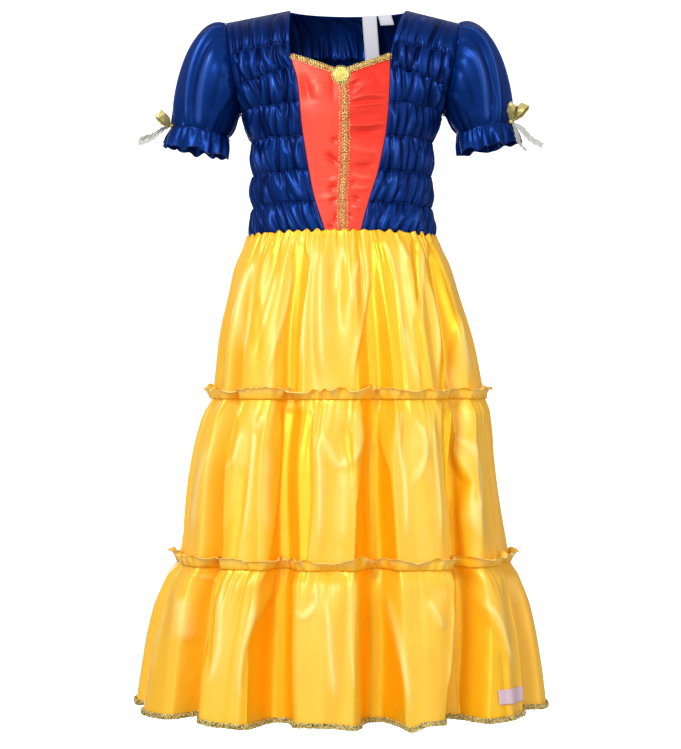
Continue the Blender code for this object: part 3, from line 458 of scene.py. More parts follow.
class DressColours(bpy.types.PropertyGroup):
    """Colours of the cloth and trims that a user may change."""

    blue: FloatVectorProperty(
        name="Blue satin", description="Bodice and sleeves", subtype="COLOR", default=linear("#032D74")
    )
    red: FloatVectorProperty(
        name="Red satin", description="Centre front", subtype="COLOR", default=linear("#F3432F")
    )
    yellow: FloatVectorProperty(
        name="Yellow satin", description="Skirt and ruffles", subtype="COLOR", default=linear("#FFBD26")
    )
    gold: FloatVectorProperty(
        name="Gold thread", description="Braids and rose", subtype="COLOR", default=linear("#F6DE8C")
    )
    ribbon: FloatVectorProperty(
        name="Gold ribbon", description="Bows' loops and knots", subtype="COLOR", default=linear("#DCCB80")
    )
    sheer: FloatVectorProperty(
        name="Silver ribbon", description="Bows' loose ends", subtype="COLOR", default=linear("#DEDFD6")
    )
    label: FloatVectorProperty(
        name="Label tape", description="Labels in the neck", subtype="COLOR", default=linear("#C9C9D2")
    )
    hem_label: FloatVectorProperty(
        name="Hem label tape", description="Label on the skirt", subtype="COLOR", default=linear("#D8BCC6")
    )


def between(a, b, share):
    """The point or number that is this share of the way from a to b."""
    return a + (b - a) * share


def ease(x, start, end):
    """Rises smoothly from 0 where x is at start to 1 where it is at end."""
    t = np.clip((x - start) / (end - start), 0.0, 1.0)
    return t * t * (3 - 2 * t)


def smooth(rows, z, column):
    """A column of a table at each height z, on a smooth curve through its rows, which run downwards."""
    xs = np.array([row.z for row in reversed(rows)])
    ys = np.array([getattr(row, column) for row in reversed(rows)])
    steps = np.arange(len(xs))
    high, low = np.minimum(steps + 1, len(xs) - 1), np.maximum(steps - 1, 0)
    slopes = (ys[high] - ys[low]) / (xs[high] - xs[low])
    z = np.clip(z, xs[0], xs[-1])
    i = np.clip(np.searchsorted(xs, z, side="right") - 1, 0, len(xs) - 2)
    span = xs[i + 1] - xs[i]
    t = (z - xs[i]) / span
    rising = t * t * (3 - 2 * t)
    return (
        between(ys[i], ys[i + 1], rising)
        + span * slopes[i] * t * (1 - t) ** 2
        - span * slopes[i + 1] * t * t * (1 - t)
    )


def unit(vectors):
    """Vectors of length one."""
    return vectors / np.maximum(np.linalg.norm(vectors, axis=-1, keepdims=True), 1e-12)


def wander(seed, turn, low, high, count=6):
    """A gentle random curve round a loop: waves of low to high turns, about one in size."""
    rng = random.Random(seed)
    total = 0.0
    for _ in range(count):
        total = total + np.sin(rng.randint(low, high) * turn + rng.uniform(0, TAU))
    return total / math.sqrt(count / 2)


def grid_normals(points, closed, towards):
    """Unit normals of a grid of points, on the side that faces away from the point or axis given."""
    if closed:
        across = np.roll(points, -1, axis=1) - np.roll(points, 1, axis=1)
    else:
        across = np.gradient(points, axis=1)
    along = np.gradient(points, axis=0)
    normals = unit(np.cross(across, along))
    away = points - towards
    sign = 1.0 if np.sum(normals * away) > 0 else -1.0
    return normals * sign


def away_from_axis(points):
    """For each point, the point of the dress's upright axis at its height."""
    axis = points.copy()
    axis[..., :2] = 0.0
    return axis


def rounded(path):
    """A path with its corners cut off three times, so that it bends softly."""
    for _ in range(3 if len(path) > 2 else 0):
        near, far = between(path[:-1], path[1:], 0.25), between(path[:-1], path[1:], 0.75)
        cut = np.stack([near, far], axis=1).reshape(-1, 2)
        path = np.vstack([path[:1], cut[1:-1], path[-1:]])
    return path


def crease_height(across, down, creases, soft=False):
    """Height of soft ridges along lines on a panel; everything is in metres but the table, in mm."""
    height = np.zeros(np.broadcast(across, down).shape)
    for crease in creases:
        path = rounded(np.array(crease.path) / 1000)
        steps = np.linalg.norm(np.diff(path, axis=0), axis=1)
        total = steps.sum()
        nearest = np.full(height.shape, 9.0)
        place = np.zeros(height.shape)
        run = 0.0
        for start, end, step in zip(path, path[1:], steps):
            way = (end - start) / step
            t = np.clip((across - start[0]) * way[0] + (down - start[1]) * way[1], 0.0, step)
            gap = np.hypot(across - start[0] - way[0] * t, down - start[1] - way[1] * t)
            closer = gap < nearest
            nearest = np.where(closer, gap, nearest)
            place = np.where(closer, (run + t) / total, place)
            run += step
        taper = ease(place, -0.02, 0.22) * ease(place, 1.02, 0.72)
        if soft:
            taper = ease(place, -0.12, 0.45) * ease(place, 1.12, 0.55)
        core = (1 + (nearest / (crease.width / 1000)) ** 2) ** -1.5
        height += crease.height / 1000 * taper * core
    return height


def trough_cover(across, down, troughs, length):
    """1 inside the troughs between a tier's panels, 0 outside; in metres but for the table, in mm."""
    cover = np.zeros(np.broadcast(across, down).shape)
    for trough in troughs:
        at, left, right = np.array(trough.rows).T / 1000
        from_left = across - np.interp(down, at, left)
        from_right = np.interp(down, at, right) - across
        soft_left, soft_right = trough.soft_left / 1000, trough.soft_right / 1000
        inside = ease(from_left, -soft_left / 2, soft_left / 2) * ease(from_right, -soft_right / 2, soft_right / 2)
        ends = ease(down, at[0] - 0.010, at[0] + 0.004)
        if at[-1] < length:
            ends = ends * ease(down, at[-1] + 0.030, at[-1] - 0.010)
        cover = np.maximum(cover, trough.shade * inside * ends)
    return cover


# Making meshes


def bare_object(name, mesh, material):
    """Puts a mesh in the scene with its material."""
    mesh.materials.append(material)
    obj = bpy.data.objects.new(name, mesh)
    bpy.context.scene.collection.objects.link(obj)
    return obj


def grid_faces(rows, columns, closed):
    """Corner numbers of the cells of a grid, and the row and column of each corner."""
    spans = columns if closed else columns - 1
    r, c = np.meshgrid(np.arange(rows - 1), np.arange(spans), indexing="ij")
    r, c = r.ravel(), c.ravel()
    corner_rows = np.stack([r, r, r + 1, r + 1], axis=1)
    corner_columns = np.stack([c, c + 1, c + 1, c], axis=1)
    faces = corner_rows * columns + corner_columns % columns
    return faces, corner_rows, corner_columns


def sheet_mesh(name, points, closed, towards):
    """A one-sided grid mesh with its faces pointing away from towards and a UV map in metres."""
    rows, columns = points.shape[:2]
    faces, corner_rows, corner_columns = grid_faces(rows, columns, closed)
    across = np.gradient(points, axis=1)
    along = np.gradient(points, axis=0)
    facing = np.sum(np.cross(across, along) * (points - towards))
    if facing < 0:
        faces = faces[:, ::-1]
        corner_rows, corner_columns = corner_rows[:, ::-1], corner_columns[:, ::-1]
    mesh = bpy.data.meshes.new(name)
    mesh.vertices.add(rows * columns)
    mesh.vertices.foreach_set("co", points.reshape(-1))
    mesh.loops.add(faces.size)
    mesh.loops.foreach_set("vertex_index", faces.reshape(-1))
    mesh.polygons.add(len(faces))
    mesh.polygons.foreach_set("loop_start", np.arange(len(faces)) * 4)
    mesh.update(calc_edges=True)
    width = np.linalg.norm(np.diff(points[rows // 2], axis=0), axis=1).sum() / max(columns - 1, 1)
    length = np.linalg.norm(np.diff(points[:, columns // 3], axis=0), axis=1).sum() / max(rows - 1, 1)
    uv = np.stack([corner_columns * width, corner_rows * length], axis=-1)
    mesh.uv_layers.new(name="cloth").data.foreach_set("uv", uv.reshape(-1).astype(float))
    mesh.shade_smooth()
    return mesh


def choose(obj):
    """Makes obj the one selected and active object."""
    bpy.ops.object.select_all(action="DESELECT")
    obj.select_set(True)
    bpy.context.view_layer.objects.active = obj


def thicken(obj, thickness):
    """Gives a sheet its thickness, inwards from the side that its faces point to."""
    solid = obj.modifiers.new("cloth", "SOLIDIFY")
    solid.thickness = thickness
    solid.offset = -1.0
    choose(obj)
    bpy.ops.object.modifier_apply(modifier=solid.name)


def sew(name, points, material, thickness, nodes, closed=False, towards=None, painted_shading=None):
    """A finished sheet of cloth that stands for CAD nodes; painted_shading is the painted shade at each point, 1 deep
    in a fold, and below 0 where a highlight is painted.
    """
    towards = away_from_axis(points) if towards is None else towards
    mesh = sheet_mesh(name, points, closed, towards)
    if painted_shading is not None:
        mesh.attributes.new("painted_shading", "FLOAT", "POINT").data.foreach_set("value", painted_shading.reshape(-1))
    obj = bare_object(name, mesh, material)
    thicken(obj, thickness)
    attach(obj, "root")
    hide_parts(*nodes)
    return obj


def frames_along(path, outward):
    """Unit directions at each point of a path: along it, across it, and out of the cloth."""
    along = unit(np.gradient(path, axis=0))
    out = unit(outward - along * np.sum(outward * along, axis=1, keepdims=True))
    return along, np.cross(out, along), out


def spaced(path, outward, pitch, closed):
    """Points at an even pitch along a path, with the outward directions there."""
    if closed:
        path, outward = np.vstack([path, path[:1]]), np.vstack([outward, outward[:1]])
    run = np.concatenate([[0.0], np.cumsum(np.linalg.norm(np.diff(path, axis=0), axis=1))])
    count = max(2, round(run[-1] / pitch))
    wanted = run[-1] * (np.arange(count) + 0.5) / count
    places = np.stack([np.interp(wanted, run, path[:, k]) for k in range(3)], axis=1)
    outs = np.stack([np.interp(wanted, run, outward[:, k]) for k in range(3)], axis=1)
    return places, outs


def copy_motif(motif, places, frames, scales):
    """One mesh's points and faces, repeated at each place in its own directions and size."""
    points, faces = motif
    along, across, out = frames
    moved = (
        places[:, None]
        + (points[None, :, 0:1] * along[:, None]) * scales[:, None, None]
        + (points[None, :, 1:2] * across[:, None]) * scales[:, None, None]
        + (points[None, :, 2:3] * out[:, None]) * scales[:, None, None]
    )
    all_points = moved.reshape(-1, 3)
    offsets = np.arange(len(places)) * len(points)
    all_faces = (faces[None] + offsets[:, None, None]).reshape(-1, faces.shape[1])
    return all_points, all_faces


def join_parts(name, parts, material):
    """One object from several (points, four-cornered faces) parts."""
    offset, points, faces = 0, [], []
    for part_points, part_faces in parts:
        points.append(part_points)
        faces.append(part_faces + offset)
        offset += len(part_points)
    points, faces = np.vstack(points), np.vstack(faces)
    mesh = bpy.data.meshes.new(name)
    mesh.vertices.add(len(points))
    mesh.vertices.foreach_set("co", points.reshape(-1))
    mesh.loops.add(faces.size)
    mesh.loops.foreach_set("vertex_index", faces.reshape(-1))
    mesh.polygons.add(len(faces))
    mesh.polygons.foreach_set("loop_start", np.arange(len(faces)) * 4)
    mesh.update(calc_edges=True)
    mesh.shade_smooth()
    return bare_object(name, mesh, material)


def thread_ring(long_radius, short_radius, thread, turn, lift=0.0, centre=(0.0, 0.0), tilt=0.0):
    """A flattened ring of thread as a motif: x along the braid, y across it and z out of it."""
    bpy.ops.object.select_all(action="DESELECT")
    bpy.ops.mesh.primitive_torus_add(
        major_segments=12, minor_segments=5, major_radius=1.0, minor_radius=thread / long_radius
    )
    ring = bpy.context.object
    bpy.ops.object.mode_set(mode="EDIT")
    bpy.ops.mesh.select_all(action="SELECT")
    bpy.ops.transform.resize(value=(long_radius, short_radius, long_radius))
    bpy.ops.object.mode_set(mode="OBJECT")
    mesh = ring.data
    mesh.transform(Matrix.Rotation(tilt, 4, "X"))
    mesh.transform(Matrix.Rotation(turn, 4, "Z"))
    mesh.transform(Matrix.Translation((centre[0], centre[1], lift)))
    points = np.empty(len(mesh.vertices) * 3)
    mesh.vertices.foreach_get("co", points)
    faces = np.array([tuple(face.vertices) for face in mesh.polygons])
    bpy.data.objects.remove(ring, do_unlink=True)
    bpy.data.meshes.remove(mesh)
    return points.reshape(-1, 3), faces


def merge_motifs(*motifs):
    """Several motifs as one."""
    offset, points, faces = 0, [], []
    for part_points, part_faces in motifs:
        points.append(part_points)
        faces.append(part_faces + offset)
        offset += len(part_points)
    return np.vstack(points), np.vstack(faces)


# Materials


def add_node(tree, kind, settings, links=()):
    """Adds a node, sets its values and sockets, and links its inputs: (input, node, output)."""
    made = tree.nodes.new(kind)
    for name, value in settings.items():
        if name in made.inputs:
            made.inputs[name].default_value = value
        else:
            setattr(made, name, value)
    for socket, source, output in links:
        tree.links.new(source.outputs[output], made.inputs[socket])
    return made


def new_material(name):
    """An empty material with its output node."""
    made = bpy.data.materials.new(name)
    made.use_nodes = True
    made.node_tree.nodes.clear()
    output = add_node(made.node_tree, "ShaderNodeOutputMaterial", {})
    return made, made.node_tree, output


def rgba(colour, gain=1.0):
    """A colour with its alpha, made lighter or darker by gain."""
    return tuple(min(1.0, c * gain) for c in colour) + (1.0,)


def satin(name, colour, deep, crest, tint, roughness, level, metallic, metallic_deep):
    """Polyester satin, woven with long floats: a smooth face with broad soft highlights in its own colour.

    Threads are 0.25 mm apart, too fine to show, so the weave is drawn at 0.8 mm as a faint bump. Slow
    changes of tone and soft crumples of 6 and 18 mm stand for handling. Deep in a fold the base colour
    is painted towards the deep colour as painted shade, for light that passes from cloth to cloth, and on
    crests towards the crest colour as painted highlight; the mesh says where with its own attribute,
    which also raises the metallic share in the folds.
    """
    made, tree, output = new_material(name)
    where = add_node(tree, "ShaderNodeTexCoord", {})
    tone = add_node(
        tree, "ShaderNodeTexNoise", {"Scale": 18.0, "Detail": 2.0, "Roughness": 0.5},
        [("Vector", where, "Object")],
    )
    mix = add_node(
        tree, "ShaderNodeMixRGB",
        {"blend_type": "MIX", "Color1": rgba(colour, 0.90), "Color2": rgba(colour, 1.10)},
        [("Fac", tone, "Fac")],
    )
    # Painted shade: the mesh's painted_shading attribute, 1 deep in a fold, takes the base colour towards the deep
    # colour
    inside = add_node(tree, "ShaderNodeAttribute", {"attribute_name": "painted_shading"})
    shade = add_node(
        tree, "ShaderNodeMixRGB", {"Color2": rgba(linear(deep))},
        [("Fac", inside, "Fac"), ("Color1", mix, "Color")],
    )
    threads = add_node(
        tree, "ShaderNodeTexWave",
        {"wave_type": "BANDS", "bands_direction": "X", "Scale": 200.0, "Distortion": 0.6, "Detail": 1.0},
        [("Vector", where, "UV")],
    )
    crumple = add_node(
        tree, "ShaderNodeTexNoise", {"Scale": 55.0, "Detail": 3.0, "Roughness": 0.45},
        [("Vector", where, "Object")],
    )
    weave = add_node(
        tree, "ShaderNodeBump", {"Strength": 0.05, "Distance": 0.0002}, [("Height", threads, "Fac")]
    )
    handled = add_node(
        tree, "ShaderNodeBump", {"Strength": 0.35, "Distance": 0.0016},
        [("Height", crumple, "Fac"), ("Normal", weave, "Normal")],
    )
    gloss = add_node(
        tree, "ShaderNodeMapRange",
        {"From Min": 0.3, "From Max": 0.7, "To Min": roughness - 0.04, "To Max": roughness + 0.05},
        [("Value", crumple, "Fac")],
    )
    # Painted highlight: where the attribute is below 0, on crests, the base colour goes towards the lighter crest
    # colour
    outside = add_node(
        tree, "ShaderNodeMapRange", {"From Min": 0.0, "From Max": -1.0, "To Min": 0.0, "To Max": 1.0},
        [("Value", inside, "Fac")],
    )
    shade = add_node(
        tree, "ShaderNodeMixRGB", {"Color2": rgba(linear(crest))},
        [("Fac", outside, "Result"), ("Color1", shade, "Color")],
    )
    own_colour = add_node(
        tree, "ShaderNodeMapRange", {"To Min": metallic, "To Max": metallic_deep}, [("Value", inside, "Fac")]
    )
    shader = add_node(
        tree, "ShaderNodeBsdfPrincipled",
        {"Specular IOR Level": level, "Specular Tint": rgba(linear(tint))},
        [
            ("Base Color", shade, "Color"), ("Metallic", own_colour, "Result"),
            ("Roughness", gloss, "Result"), ("Normal", handled, "Normal"),
        ],
    )
    tree.links.new(shader.outputs["BSDF"], output.inputs["Surface"])
    return made


def metallic_thread(name, colour, dark, relief=0.7):
    """Lurex gimp, a thread wrapped in metallised film: spots painted lighter than its colour as a painted glint
    highlight, beside dark gaps, 1.5 mm apart.
    """
    made, tree, output = new_material(name)
    where = add_node(tree, "ShaderNodeTexCoord", {})
    painted_glints = add_node(
        tree, "ShaderNodeTexVoronoi", {"Scale": 520.0, "feature": "F1"}, [("Vector", where, "Object")]
    )
    # Painted highlight: the spots' colour is lighter than the thread's own colour, as a painted glint
    ramp = add_node(tree, "ShaderNodeValToRGB", {}, [("Fac", painted_glints, "Distance")])
    ramp.color_ramp.elements[0].color = rgba(colour, 1.25)
    ramp.color_ramp.elements[0].position = 0.25
    ramp.color_ramp.elements[1].color = rgba(linear(dark))
    ramp.color_ramp.elements[1].position = 0.85
    twist = add_node(
        tree, "ShaderNodeBump", {"Strength": relief, "Distance": 0.0005}, [("Height", painted_glints, "Distance")]
    )
    shader = add_node(
        tree, "ShaderNodeBsdfPrincipled", {"Metallic": 0.30, "Roughness": 0.34},
        [("Base Color", ramp, "Color"), ("Normal", twist, "Normal")],
    )
    tree.links.new(shader.outputs["BSDF"], output.inputs["Surface"])
    return made


def ribbon_film(name, colour, alpha, metallic):
    """Metallised polyester ribbon: fine lengthwise ribs 0.6 mm apart, with see-through gaps in the sheer one."""
    made, tree, output = new_material(name)
    where = add_node(tree, "ShaderNodeTexCoord", {})
    ribs = add_node(
        tree, "ShaderNodeTexWave",
        {"wave_type": "BANDS", "bands_direction": "X", "Scale": 260.0, "Distortion": 0.4},
        [("Vector", where, "UV")],
    )
    tone = add_node(
        tree, "ShaderNodeMixRGB", {"Color1": rgba(colour, 0.62), "Color2": rgba(colour, 1.10)},
        [("Fac", ribs, "Fac")],
    )
    crinkle = add_node(
        tree, "ShaderNodeTexNoise", {"Scale": 320.0, "Detail": 2.0}, [("Vector", where, "Object")]
    )
    bump = add_node(
        tree, "ShaderNodeBump", {"Strength": 0.6, "Distance": 0.0006}, [("Height", crinkle, "Fac")]
    )
    shader = add_node(
        tree, "ShaderNodeBsdfPrincipled",
        {"Metallic": metallic, "Roughness": 0.30, "Alpha": alpha},
        [("Base Color", tone, "Color"), ("Normal", bump, "Normal")],
    )
    tree.links.new(shader.outputs["BSDF"], output.inputs["Surface"])
    return made


def label_tape(name, colour):
    """Woven polyester taffeta tape: matt white with a crosswise rib 0.7 mm apart."""
    made, tree, output = new_material(name)
    where = add_node(tree, "ShaderNodeTexCoord", {})
    ribs = add_node(
        tree, "ShaderNodeTexWave", {"bands_direction": "Y", "Scale": 220.0, "Distortion": 0.5},
        [("Vector", where, "UV")],
    )
    tone = add_node(
        tree, "ShaderNodeMixRGB", {"Color1": rgba(colour, 0.93), "Color2": rgba(colour, 1.04)},
        [("Fac", ribs, "Fac")],
    )
    bump = add_node(
        tree, "ShaderNodeBump", {"Strength": 0.3, "Distance": 0.0002}, [("Height", ribs, "Fac")]
    )
    shader = add_node(
        tree, "ShaderNodeBsdfPrincipled", {"Roughness": 0.62, "Specular IOR Level": 0.35},
        [("Base Color", tone, "Color"), ("Normal", bump, "Normal")],
    )
    tree.links.new(shader.outputs["BSDF"], output.inputs["Surface"])
    return made


def spun_thread(name, colour):
    """Polyester sewing thread: a fine twist that stays a little lighter than the cloth."""
    made, tree, output = new_material(name)
    where = add_node(tree, "ShaderNodeTexCoord", {})
    twist = add_node(
        tree, "ShaderNodeTexNoise", {"Scale": 900.0, "Detail": 1.0}, [("Vector", where, "Object")]
    )
    tone = add_node(
        tree, "ShaderNodeMixRGB", {"Color1": rgba(colour, 0.7), "Color2": rgba(colour, 1.6)},
        [("Fac", twist, "Fac")],
    )
    shader = add_node(
        tree, "ShaderNodeBsdfPrincipled", {"Roughness": 0.55}, [("Base Color", tone, "Color")]
    )
    tree.links.new(shader.outputs["BSDF"], output.inputs["Surface"])
    return made


@functools.lru_cache(maxsize=None)
def finish(name):
    """The material of that name, made once from the panel's colours."""
    colours = bpy.context.scene.dress_colours
    # After the own colour, each satin gets a painted shade colour for deep in folds and a painted highlight colour for
    # crests
    if name == "blue_satin":
        return satin(name, tuple(colours.blue), "#00154A", "#3A62BC", "#A8BCF8", 0.36, 0.36, 0.50, 0.50)
    if name == "red_satin":
        return satin(name, tuple(colours.red), "#DE2318", "#FF8E74", "#FFC8BC", 0.38, 0.60, 0.00, 0.30)
    if name == "yellow_satin":
        return satin(name, tuple(colours.yellow), "#FFC000", "#FFE084", "#FFF2D8", 0.42, 1.00, 0.00, 0.50)
    if name == "gold_lurex_braid":
        return metallic_thread(name, tuple(colours.gold), "#8A6A22")
    if name == "gold_lurex_rose":
        return metallic_thread(name, tuple(colours.gold), "#C8B054", 0.2)
    if name == "gold_lurex_hem_braid":
        return metallic_thread(name, tuple(c * 0.8 for c in colours.gold), "#57480F")
    if name == "gold_film_ribbon":
        return ribbon_film(name, tuple(colours.ribbon), 1.0, 0.35)
    if name == "silver_sheer_ribbon":
        return ribbon_film(name, tuple(colours.sheer), 0.72, 0.25)
    if name == "white_label_tape":
        return label_tape(name, tuple(colours.label))
    if name == "pink_label_tape":
        return label_tape(name, tuple(colours.hem_label))
    return spun_thread(name, tuple(colours.blue))


# The skirt


def skirt_oval(z, columns):
    """The skirt's level outline over its ridges at each height, round from the centre back."""
    quarter = columns // 4
    turn = np.linspace(0, math.pi / 2, QUARTER_STEPS + 1)
    station = np.arange(columns) - 2 * quarter
    side = np.where(station >= 0, 1.0, -1.0)
    front = np.abs(station) <= quarter
    index = np.where(front, np.abs(station), 2 * quarter - np.abs(station))
    rings = []
    for height in z:
        half_width, half_depth = smooth(SKIRT, height, "half_width"), smooth(SKIRT, height, "half_depth")
        across, forward = np.sin(turn), np.cos(turn)
        power = (across / half_width) ** SKIRT_POWER + (forward / half_depth) ** SKIRT_POWER
        reach = power ** (-1 / SKIRT_POWER)
        x, y = across * reach, forward * reach
        run = np.concatenate([[0.0], np.cumsum(np.hypot(np.diff(x), np.diff(y)))])
        wanted = run[-1] * np.arange(quarter + 1) / quarter
        x, y = np.interp(wanted, run, x)[index], np.interp(wanted, run, y)[index]
        swing = smooth(SKIRT, height, "swing")
        rings.append(np.stack([swing + side * x, np.where(front, -y, y), np.full(columns, height)], -1))
    return np.array(rings)


def level_normals(rings):
    """The level outward normal at each point of closed rings."""
    ahead, behind = np.roll(rings, -1, axis=1), np.roll(rings, 1, axis=1)
    normals = np.stack(
        [behind[..., 1] - ahead[..., 1], ahead[..., 0] - behind[..., 0], np.zeros(rings.shape[:2])], -1
    )
    return -unit(normals) if np.sum(normals * rings) < 0 else unit(normals)


def fold_depth(place, z):
    """How far the cloth lies inside the ridges, for the hanging folds alone: flat floors, steep flanks."""
    share = smooth(SKIRT, z, "fold_share")
    drop = np.clip((FIRST_RUFFLE_Z - z) / (FIRST_RUFFLE_Z - HEM_Z), 0.0, 1.0)
    depth = 0.0
    for fold in FOLDS:
        centre = between(fold.place_high, fold.place_hem, drop)
        off = np.abs((place - centre + 1) % 2 - 1) / fold.half_width
        depth = depth + fold.depth * share * ease(1 - off, 0.0, FOLD_FLANK)
    return depth


def gather_height(turn, drop, tier, length):
    """Irregular gathers below a seam, whose valleys are sharper than their tops."""
    height = 0.0
    for k, size in enumerate(GATHERS):
        seed = tier.seed + 10 * k
        count = round(length / size.pitch)
        phase = count * turn + 1.1 * wander(seed, turn, 5, 23) * (1 + k) + 9 * drop * wander(seed + 1, turn, 2, 9)
        ridge = np.abs(np.sin(phase / 2)) - 0.64
        tall = size.height * (1 + 0.45 * wander(seed + 2, turn, 3, 31))
        fade = size.fade * (1 + 0.30 * np.clip(wander(seed + 3, turn, 4, 40), -1.5, 1.5))
        height = height + tall * ridge * np.exp(-drop / fade)
    return height * between(0.55, 1.0, ease(drop, 0.0, 0.006))


def drape_height(turn, drop, tier):
    """Broad soft drapes, 30 to 80 mm wide, that lean a little and grow away from the seam."""
    rng = random.Random(tier.seed + 50)
    height = 0.0
    for _ in range(DRAPES):
        count = rng.randint(9, 30)
        lean, bend = rng.uniform(-16, 16), rng.uniform(0.3, 1.0)
        shift = rng.uniform(0, TAU)
        height = height + np.sin(count * turn + lean * drop + bend * np.sin(22 * drop + shift) + shift)
    return DRAPE_HEIGHT * height * math.sqrt(2 / DRAPES) * ease(drop, 0.0, 0.055)


def hidden_creases(tier):
    """Creases for the back of a tier, as uneven as the front's, in the same form."""
    rng = random.Random(tier.seed + 77)
    deep = (tier.top - tier.bottom) * 1000
    reach = float(smooth(SKIRT, (tier.top + tier.bottom) / 2, "half_width")) * 1000
    lines = []
    for k in range(BACK_CREASES):
        x = between(-0.92, 0.92, (k + rng.uniform(0.2, 0.8)) / BACK_CREASES) * reach
        start = rng.uniform(8, 45)
        end = min(deep - 8, start + rng.uniform(0.35, 0.95) * deep)
        lean = x * 0.10 + rng.uniform(-12, 12)
        bend = rng.uniform(-7, 7)
        path = ((x, start), (x + lean / 2 + bend, (start + end) / 2), (x + lean, end))
        lines.append(Crease(path, rng.uniform(3.4, 6.0), rng.uniform(1.5, 2.7)))
    return tuple(lines)


def seam_dip(x, drop):
    """How much lower the waist seam runs towards the sides, fading down the top tier."""
    return WAIST_DIP * (x / BODY[-1].half_width) ** 2 * np.clip(1 - drop / 0.04, 0.0, 1.0)


@functools.lru_cache(maxsize=None)
def tier_points(number):
    """Points of a tier's cloth, rows from its seam down, round from the centre back."""
    tier = TIERS[number]
    steps = np.linspace(0, 1, TIER_ROWS)
    drop = (tier.top - tier.bottom) * (0.35 * steps + 0.65 * steps**2)
    z = tier.top - drop
    base = skirt_oval(z, TIER_COLUMNS)
    place = 2 * np.arange(TIER_COLUMNS) / TIER_COLUMNS - 1
    turn = np.arange(TIER_COLUMNS) * TAU / TIER_COLUMNS
    folded = base - level_normals(base) * fold_depth(place[None], z[:, None])[..., None]
    if number == 0:
        folded[..., 2] -= seam_dip(folded[..., 0], drop[:, None])
    length = np.linalg.norm(np.diff(base[0], axis=0), axis=1).sum()
    gathers = gather_height(turn[None], drop[:, None], tier, length)
    height = gathers + drape_height(turn[None], drop[:, None], tier)
    down = drop[:, None] + 0 * base[..., 0]
    front = ease(base[..., 1], 0.02, -0.02)
    cover = trough_cover(base[..., 0], down, tier.troughs, drop[-1]) * front
    ridges = crease_height(base[..., 0], down, tier.creases) * front
    ridges = ridges + crease_height(base[..., 0], down, hidden_creases(tier)) * (1 - front)
    height = height + ridges * front
    height = height * (1 - 0.6 * cover) - TROUGH_DEPTH * cover * ease(drop[:, None], 0.0, 0.02)
    height = height + ridges * (1 - front)
    sway = 0.0012 * wander(tier.seed + 5, turn, 3, 17)[None] * (drop[:, None] / drop[-1])
    points = folded + level_normals(folded) * (height + sway)[..., None]
    if number == 0:
        scallop = 0.0010 * wander(3, turn, 38, 62)[None] + 0.0016
        points[..., 2] += scallop * np.exp(-drop[:, None] / 0.004)
        points += level_normals(folded) * (0.0032 * np.exp(-drop[:, None] / 0.005))[..., None]
    if number == 2:
        lift = 0.0045 * (np.abs(base[..., 0]) / 0.25) ** 3 + 0.0012 * wander(41, turn, 4, 15)[None]
        for x, fall, width in HEM_DIPS:
            dip = fall * np.exp(-(((base[..., 0] - x) / width) ** 2))
            lift = lift - np.where(base[..., 1] < 0, dip, 0.0)
        points[..., 2] += lift * (drop[:, None] / drop[-1]) ** 2
    if number > 0:
        seam = tier_points(number - 1)[0][-1]
        shift = (seam - points[0]) * np.array([1.0, 1.0, 0.0])
        points = points + shift[None] * np.exp(-((drop[:, None, None] / SEAM_REACH) ** 2))
        points[..., 2] += SEAM_OVERLAP * np.exp(-drop[:, None] / 0.003)
    # Painted shade under the seam above, deep in the hanging folds, in the troughs and in the gather valleys; crests of
    # creases and gathers are painted lighter as a painted highlight
    painted_shade_under_seam = 0.8 * np.exp(-drop[:, None] / 0.005)
    deep = np.clip(fold_depth(place[None], z[:, None]) / 0.026, 0.0, 1.0) * between(1.0, 0.25, front)
    painted_valley_shade = 0.75 * ease(-gathers, -0.0002, 0.0018) * np.exp(-drop[:, None] / 0.030)
    painted_shading = np.clip(np.maximum.reduce([cover, deep, painted_shade_under_seam + 0 * deep, painted_valley_shade]), 0.0, 1.0)
    crest = np.clip(ridges / 0.0024, 0.0, 1.0) ** 1.5 + 0.6 * ease(gathers, 0.0020, 0.0042)
    return points, painted_shading - PAINTED_CREST_HIGHLIGHT * np.clip(crest, 0.0, 1.0) * (1 - painted_shading)


def make_tier(number):
    """One tier of the skirt, gathered on to the seam above it."""
    tier = TIERS[number]
    thickness = bpy.context.scene.dress_sizes.satin
    points, painted_shading = tier_points(number)
    obj = sew(
        tier.name, points, finish("yellow_satin"), thickness, tier.nodes,
        closed=True, painted_shading=painted_shading,
    )
    return obj


def eased_ring(values):
    """Values round a closed loop, evened out over a few centimetres."""
    count = len(values)
    return np.convolve(np.tile(values, 3), RUFFLE_EASE, "same")[count : 2 * count]


